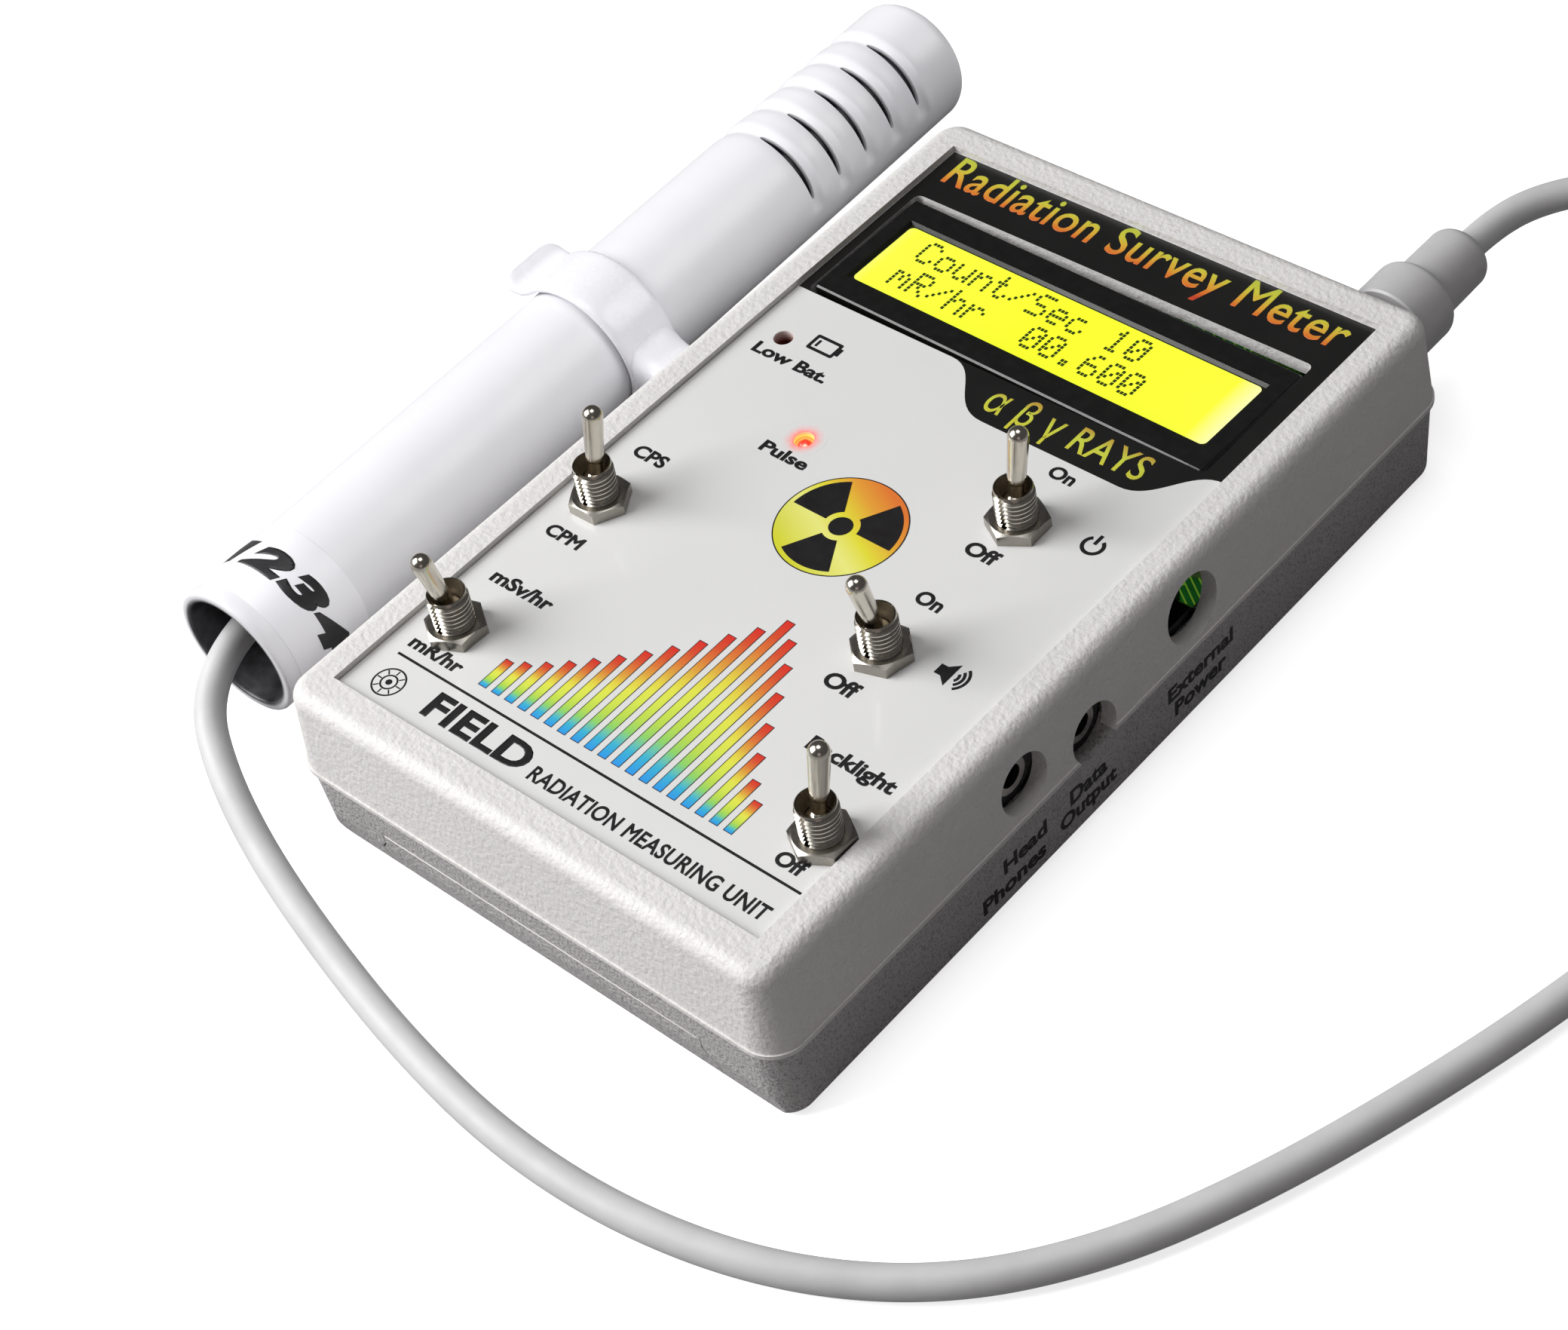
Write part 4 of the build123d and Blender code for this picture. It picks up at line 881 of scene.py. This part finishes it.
def wand_shell():
    """The tube with its five pairs of louvred slots, open at the lead's end."""
    rows = [(0.0, 0.4, 0), (0.15, 0.14, 0), (0.45, 0.0, 0)]
    rows += [(station, 0.0, 0) for station in (1.5, 6, 15, 30, 50, 70, 90, 105, 112)]
    spacing = (-3.0, -2.4, -1.9, -1.5, -1.15, -0.9)
    for station in slot_stations:
        rows += [(station + offset, 0.0, 0) for offset in spacing]
        rows += [(station, 0.0, -1), (station, 0.0, 1)]
        rows += [(station - offset, 0.0, 0) for offset in reversed(spacing)]
    rows += [(station, 0.0, 0) for station in (149.6, 151.0, 152.5, 154.0)]
    step = 2
    angles = range(0, 360, step)
    work = bmesh.new()
    outer, inner = [], []
    for station, cut, edge in rows:
        out_row, in_row = [], []
        for angle in angles:
            at = station + edge * slot_half(angle)
            nearest = min(slot_stations, key=lambda slot: abs(slot - at))
            radius = wand_radius - cut + crease(angle, at - nearest)
            out_row.append(work.verts.new(round_wand(angle, at, radius)))
            in_row.append(work.verts.new(round_wand(angle, max(at, 0.02), wand_bore + 0.6 * cut)))
        outer.append(out_row)
        inner.append(in_row)
    count = len(angles)
    for k in range(len(rows) - 1):
        slotted = rows[k][2] == -1
        for i in range(count):
            j = (i + 1) % count
            arc = next((arc for arc in slot_arcs if slotted and arc[0] <= angles[i] < arc[1]), None)
            if arc is None:
                work.faces.new((outer[k][i], outer[k][j], outer[k + 1][j], outer[k + 1][i]))
                work.faces.new((inner[k][j], inner[k][i], inner[k + 1][i], inner[k + 1][j]))
                continue
            work.faces.new((outer[k][j], outer[k][i], inner[k][i], inner[k][j]))
            work.faces.new((outer[k + 1][i], outer[k + 1][j], inner[k + 1][j], inner[k + 1][i]))
            if angles[i] == arc[0]:
                work.faces.new((outer[k][i], outer[k + 1][i], inner[k + 1][i], inner[k][i]))
            if angles[i] == arc[1] - step:
                work.faces.new((outer[k + 1][j], outer[k][j], inner[k][j], inner[k + 1][j]))
    for i in range(count):
        j = (i + 1) % count
        work.faces.new((outer[0][j], outer[0][i], inner[0][i], inner[0][j]))
        work.faces.new((outer[-1][i], outer[-1][j], inner[-1][j], inner[-1][i]))
    made = piece("wand_shell", work, wand_white, "wand", 50)
    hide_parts("wand_tube")
    return made


def wand_sleeve():
    """A thin printed sleeve round the wand's open end, and the digits on it."""
    work = bmesh.new()
    low, high = wand_radius - 0.05, wand_radius + 0.07
    profile = [(low, 2.7), (high - 0.02, 2.7), (high, 2.76), (high, 9.5), (high, 16.24), (high - 0.02, 16.3),
               (low, 16.3)]
    turned(work, profile, on_wand.translation, on_wand.to_3x3().col[2].normalized(), 120)
    film = moulded("sleeve_film", srgb(236, 236, 240), 0.36, 0.008, 8 * mm, 3 * mm, 0.006 * mm)
    sleeve = piece("wand_sleeve", work, film, "wand", 40)
    work = bmesh.new()
    weight, sweep, strips = 0.13, 150, 70
    mesh, width = lettering("1234", slant=0.25, spacing=1.15, weight=weight)
    arc, tall, thick = radians(sweep) * wand_radius, 4.8, 0.08
    mesh.transform(Matrix.Diagonal((arc / width, tall / (cap_height + weight), thick, 1)))
    joined(work, mesh)
    for strip in range(1, strips):
        everything = [*work.verts, *work.edges, *work.faces]
        cut = (arc * strip / strips, 0, 0)
        bmesh.ops.bisect_plane(work, geom=everything, plane_co=cut, plane_no=(1, 0, 0))
    for vert in work.verts:
        x, y, z = vert.co
        vert.co = round_wand(136 - sweep * x / arc, 7.5 + y, high + z)
    piece("wand_digits", work, ink("digit_ink", srgb(48, 48, 50)), "wand")
    return sleeve


def blunt_oval(count, wide, tall, blunt_wide, blunt_tall):
    """Points round an oval. The lower the powers blunt_wide and blunt_tall, the squarer it is."""
    points = []
    for x, y in circle(0, 0, 1, count):
        points.append((copysign(abs(x) ** blunt_wide * wide, x), copysign(abs(y) ** blunt_tall * tall, y)))
    return points


def wand_clip():
    """The sprung clip: an open ring with spoon-like lips, on a waisted neck with a flared foot."""
    station, grip, lip, parting = 78.3, 11.67, 3.9, 128
    lip_x, lip_y = (grip + lip) * cos(radians(parting)), (grip + lip) * sin(radians(parting))
    line = circle(lip_x, lip_y, lip, 14, radians(219), radians(89))
    line += circle(0, 0, grip, 32, radians(parting), -radians(parting))[1:]
    line += [(x, -y) for x, y in reversed(line[:-1])]
    lengths = [0.0]
    for (x0, y0), (x1, y1) in zip(line, line[1:]):
        lengths.append(lengths[-1] + ((x1 - x0) ** 2 + (y1 - y0) ** 2) ** 0.5)
    work = bmesh.new()
    rings = []
    for i, (x, y) in enumerate(line):
        before, after = line[max(i - 1, 0)], line[min(i + 1, len(line) - 1)]
        along = Vector((after[0] - before[0], after[1] - before[1])).normalized()
        out = Vector((-along.y, along.x))
        left = min(lengths[i], lengths[-1] - lengths[i])
        round_off = (max(0.0, 1 - (1 - min(1.0, (left + 0.1) / 2.2)) ** 2)) ** 0.5
        half_width = (5.2 + 0.55 * (1 - eased(left, 2.5, 6.5))) * (0.5 + 0.5 * round_off)
        half_thick = 0.7 * (0.45 + 0.55 * eased(left, -0.2, 1.2))
        rings.append([
            work.verts.new(on_wand @ Vector((x + out.x * depth, y + out.y * depth, station + across)))
            for across, depth in blunt_oval(28, half_width, half_thick, 0.28, 0.7)
        ])
    skin(work, rings)
    rings = []
    for reach, wide, tall in ((11.3, 5.0, 4.6), (12.6, 4.95, 4.0), (13.8, 4.7, 3.1), (15.4, 4.45, 2.5),
                              (17.5, 4.4, 2.3), (19.6, 4.7, 2.4), (21.4, 5.3, 2.8), (22.8, 6.1, 3.4),
                              (23.8, 6.8, 3.9), (24.35, 7.0, 4.0)):
        rings.append([
            work.verts.new(on_wand @ Vector((reach, up, station + across)))
            for across, up in blunt_oval(40, wide, tall, 0.5, 0.6)
        ])
    skin(work, rings)
    look = moulded("clip_white", srgb(231, 231, 236), 0.25, 0.01, 8 * mm, 2 * mm, 0.008 * mm)
    made = piece("wand_clip", work, look, "case", 60)
    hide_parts("spring_clip")
    return made


wand_white = wand_plastic()
wand_light(wand_shell(), wand_sleeve(), wand_clip(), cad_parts["wand_end_cap"])

# -------------------- display
glyphs = {
    "C": "01110 10001 10000 10000 10000 10001 01110",
    "o": "00000 00000 01110 10001 10001 10001 01110",
    "u": "00000 00000 10001 10001 10001 10011 01101",
    "n": "00000 00000 10110 11001 10001 10001 10001",
    "t": "01000 01000 11100 01000 01000 01001 00110",
    "/": "00000 00001 00010 00100 01000 10000 00000",
    "S": "01111 10000 10000 01110 00001 00001 11110",
    "e": "00000 00000 01110 10001 11111 10000 01110",
    "c": "00000 00000 01110 10000 10000 10001 01110",
    "1": "00100 01100 00100 00100 00100 00100 01110",
    "0": "01110 10001 10011 10101 11001 10001 01110",
    "m": "00000 00000 11010 10101 10101 10001 10001",
    "R": "11110 10001 10001 11110 10100 10010 10001",
    "h": "10000 10000 10110 11001 10001 10001 10001",
    "r": "00000 00000 10110 11001 10000 10000 10000",
    ".": "00000 00000 00000 00000 00000 01100 01100",
    "6": "00110 01000 10000 11110 10001 10001 01110",
}
lcd_lines = ["Count/Sec 10    ", "mR/hr  00.600   "]
lcd_turn = Matrix.Rotation(radians(-1.0), 4, "Z")
lcd_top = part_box("lcd_glass")[1].z
lcd_place = Matrix.Translation((-0.9 * mm, 41.6 * mm, lcd_top)) @ lcd_turn @ Matrix.Scale(mm, 4)


def display_characters():
    """Two rows of five by seven dots, raised a hair above the glass."""
    work = bmesh.new()
    first_x, first_y, letter_pitch, row_pitch = -27.6, 5.9, 3.55, 6.05
    dot_pitch_x, dot_pitch_y, dot_x, dot_y = 0.60, 0.70, 0.50, 0.58
    for row, line in enumerate(lcd_lines):
        for column, letter in enumerate(line):
            for down, pattern in enumerate(glyphs.get(letter, "").split()):
                for right, lit in enumerate(pattern):
                    if lit == "1":
                        x = first_x + letter_pitch * column + dot_pitch_x * right
                        y = first_y - row_pitch * row - dot_pitch_y * down
                        dot = rounded_box(x, y - dot_y, x + dot_x, y, 0.08, 2)
                        plate(work, [dot], 0.0, 0.03, lcd_place)
    look = ink("character_ink", srgb(58, 66, 16), 0.3)
    piece("lcd_characters", work, look, "case")


def display_glow():
    """The lit glass: strong yellow-green, paler at the ends where its lamps are."""
    look = Look("display_glow", 0.2, Coat_Weight=0.3, Coat_Roughness=0.05)
    along = look.span(look.axis("X"), -34.5 * mm, 32.5 * mm)
    across = look.span(look.axis("Y"), 34.6 * mm, 48.6 * mm)
    glow = look.ramp(along, [
        (0.0, srgb(246, 252, 120)), (0.04, srgb(240, 252, 66)), (0.5, srgb(236, 250, 38)),
        (0.93, srgb(240, 250, 54)), (1.0, srgb(255, 252, 190)),
    ])
    dimmed = look.ramp(across, [
        (0.0, (0.9, 0.9, 0.9, 1)), (0.5, (1, 1, 1, 1)), (1.0, (0.94, 0.94, 0.94, 1)),
    ])
    look.surface(
        Base_Color=look.ramp(along, [(0.0, srgb(90, 100, 20)), (1.0, srgb(90, 96, 24))]),
        Emission_Color=look.mix(1.0, glow, dimmed, "MULTIPLY"),
        Emission_Strength=1.14,
        Normal=look.grain(1.2 * mm, 2, 0.002 * mm),
    )
    return look.material


def window_corners():
    """The dark edge that rounds the corners of the lit window."""
    work = bmesh.new()
    outline = rounded_box(-32.9, -7.3, 32.9, 7.3, 0.3, 3)
    plate(work, [outline, rounded_box(-32.45, -6.85, 32.45, 6.85, 0.9)], 0.0, 0.05, lcd_place)
    look = ink("window_edge_ink", srgb(30, 32, 12), 0.35)
    piece("lcd_window_edge", work, look, "case")


display_characters()
window_corners()

# -------------------- materials of the CAD nodes
def glowing_lens():
    """The lit lamp: a painted white highlight on its near side, then red, then an orange that paints the
    lamp's light on its hole's wall.
    """
    x, y, top = top_middle("pulse_lamp")
    look = Look("pulse_glow", 0.25)
    # The white spot round this point is a painted highlight, and the outer orange is painted light from the
    # hole's lit wall.
    from_painted_highlight = look.span(look.distance((x + 0.8 * mm, y - 0.7 * mm, top)), 0.0, 2.8 * mm)
    glow = look.ramp(look.combine("ADD", from_painted_highlight, look.drift(0.8 * mm, 2, -0.04, 0.04)), [
        (0.0, srgb(255, 250, 226)), (0.14, srgb(255, 226, 196)), (0.22, srgb(232, 60, 50)),
        (0.4, srgb(214, 34, 30)), (0.5, srgb(238, 120, 52)), (0.66, srgb(252, 196, 104)),
        (1.0, srgb(255, 176, 120)),
    ])
    body = look.ramp(from_painted_highlight, [(0.0, srgb(190, 60, 40)), (1.0, srgb(150, 60, 30))])
    look.surface(Base_Color=body, Emission_Color=glow, Emission_Strength=0.95)
    return look.material


def circuit_board(glow):
    """Green solder mask with paler copper tracks, with the display's backlight painted on as a faint glow of
    the board's own colours.
    """
    look = Look("circuit_board", 0.35, Emission_Strength=glow)
    tracks = look.node("ShaderNodeTexBrick", {
        "Vector": look.mapped(turn_z=radians(35)), "Scale": 400, "Mortar Size": 0.05,
        "Brick Width": 3.2, "Row Height": 0.42,
    }, offset=0.37, squash=0.6, squash_frequency=3).outputs["Fac"]
    board = look.mottled(5 * mm, 3, srgb(20, 84, 30), srgb(30, 112, 40))
    green = look.mix(look.combine("MULTIPLY", tracks, 0.8), board, srgb(150, 200, 60))
    look.surface(Base_Color=green, Emission_Color=green, Normal=look.bump(tracks, 0.03 * mm))
    return look.material


def dress(material, *nodes):
    """Gives a CAD node's own object a finished material."""
    for node in nodes:
        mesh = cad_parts[node].data
        mesh.materials.clear()
        mesh.materials.append(material)


dress(case_plastic("upper_abs", srgb(224, 222, 220), -0.07, 0.8 * mm, 0.2 * mm), "top_case")
dress(case_plastic("lower_abs", srgb(190, 187, 187), -0.5, 0.6 * mm, 0.32 * mm),
      "bottom_case", "battery_door")
dress(label_film(), "face_label")
dress(plated("nickel_plate", (0.62, 0.585, 0.52, 1), 0.22, 0.05, 1.0, 0.0002 * mm),
      *[f"bushing_{key}" for key in keys])
dress(plated("lever_plate", (0.66, 0.62, 0.54, 1), 0.16), *[f"lever_{key}" for key in keys])
dress(plated("nut_plate", (0.36, 0.34, 0.305, 1), 0.27), "switch_nuts")
dress(moulded("switch_phenolic", srgb(60, 30, 26), 0.5), *[f"switch_body_{key}" for key in keys])
dress(moulded("bezel_black", srgb(13, 13, 12), 0.34, depth=0.003 * mm, Coat_Weight=0.2), "lcd_bezel")
dress(display_glow(), "lcd_glass")
dress(moulded("backlight_resin", srgb(205, 215, 70), 0.3), "lcd_backlight")
dress(circuit_board(0.35), "main_pcb")
dress(circuit_board(0.0), "lcd_pcb")
dress(moulded("chip_black", srgb(26, 26, 27), 0.45), "microcontroller", "support_chips",
      "piezo_sounder", "high_voltage_transformer", "contrast_trimmer")
dress(moulded("natural_nylon", srgb(226, 224, 214), 0.45), "board_pillars", "lcd_spacers")
dress(plated("drawn_can", (0.72, 0.72, 0.72, 1), 0.35), "capacitors", "crystal")
dress(plated("zinc_plate", (0.62, 0.62, 0.62, 1), 0.3),
      "board_screws", "case_screws", "clip_screw", "clip_nut", "geiger_tube")
dress(moulded("battery_jacket", srgb(48, 50, 58), 0.35), "battery")
dress(moulded("snap_vinyl", srgb(30, 30, 30), 0.5), "battery_snap")
dress(moulded("jack_black", srgb(14, 14, 14), 0.25), "data_jack", "headphone_jack", "power_jack")
dress(plated("collar_plate", (0.70, 0.69, 0.66, 1), 0.2), "jack_collars", "probe_socket")
dress(glowing_lens(), "pulse_lamp")
# The unlit lamp's faint red glow is painted light, so its dark red shows in the shade of its hole.
dress(moulded("dark_lens", srgb(52, 8, 7), 0.16, Emission_Color=(0.1, 0.012, 0.008, 1),
              Emission_Strength=0.25), "low_battery_lamp")
dress(wand_white, "wand_tube", "wand_end_cap")
dress(moulded("gland_rubber", srgb(96, 96, 98), 0.7), "wand_gland", "tube_rings")
dress(moulded("mica", srgb(170, 150, 120), 0.2), "tube_window")
dress(moulded("clip_white", srgb(238, 238, 242), 0.25, 0.015, 8 * mm, 2 * mm, 0.01 * mm), "spring_clip")
dress(moulded("plug_grey", srgb(192, 191, 192), 0.42, 0.05, 5 * mm, 0.6 * mm, 0.012 * mm), "probe_plug")
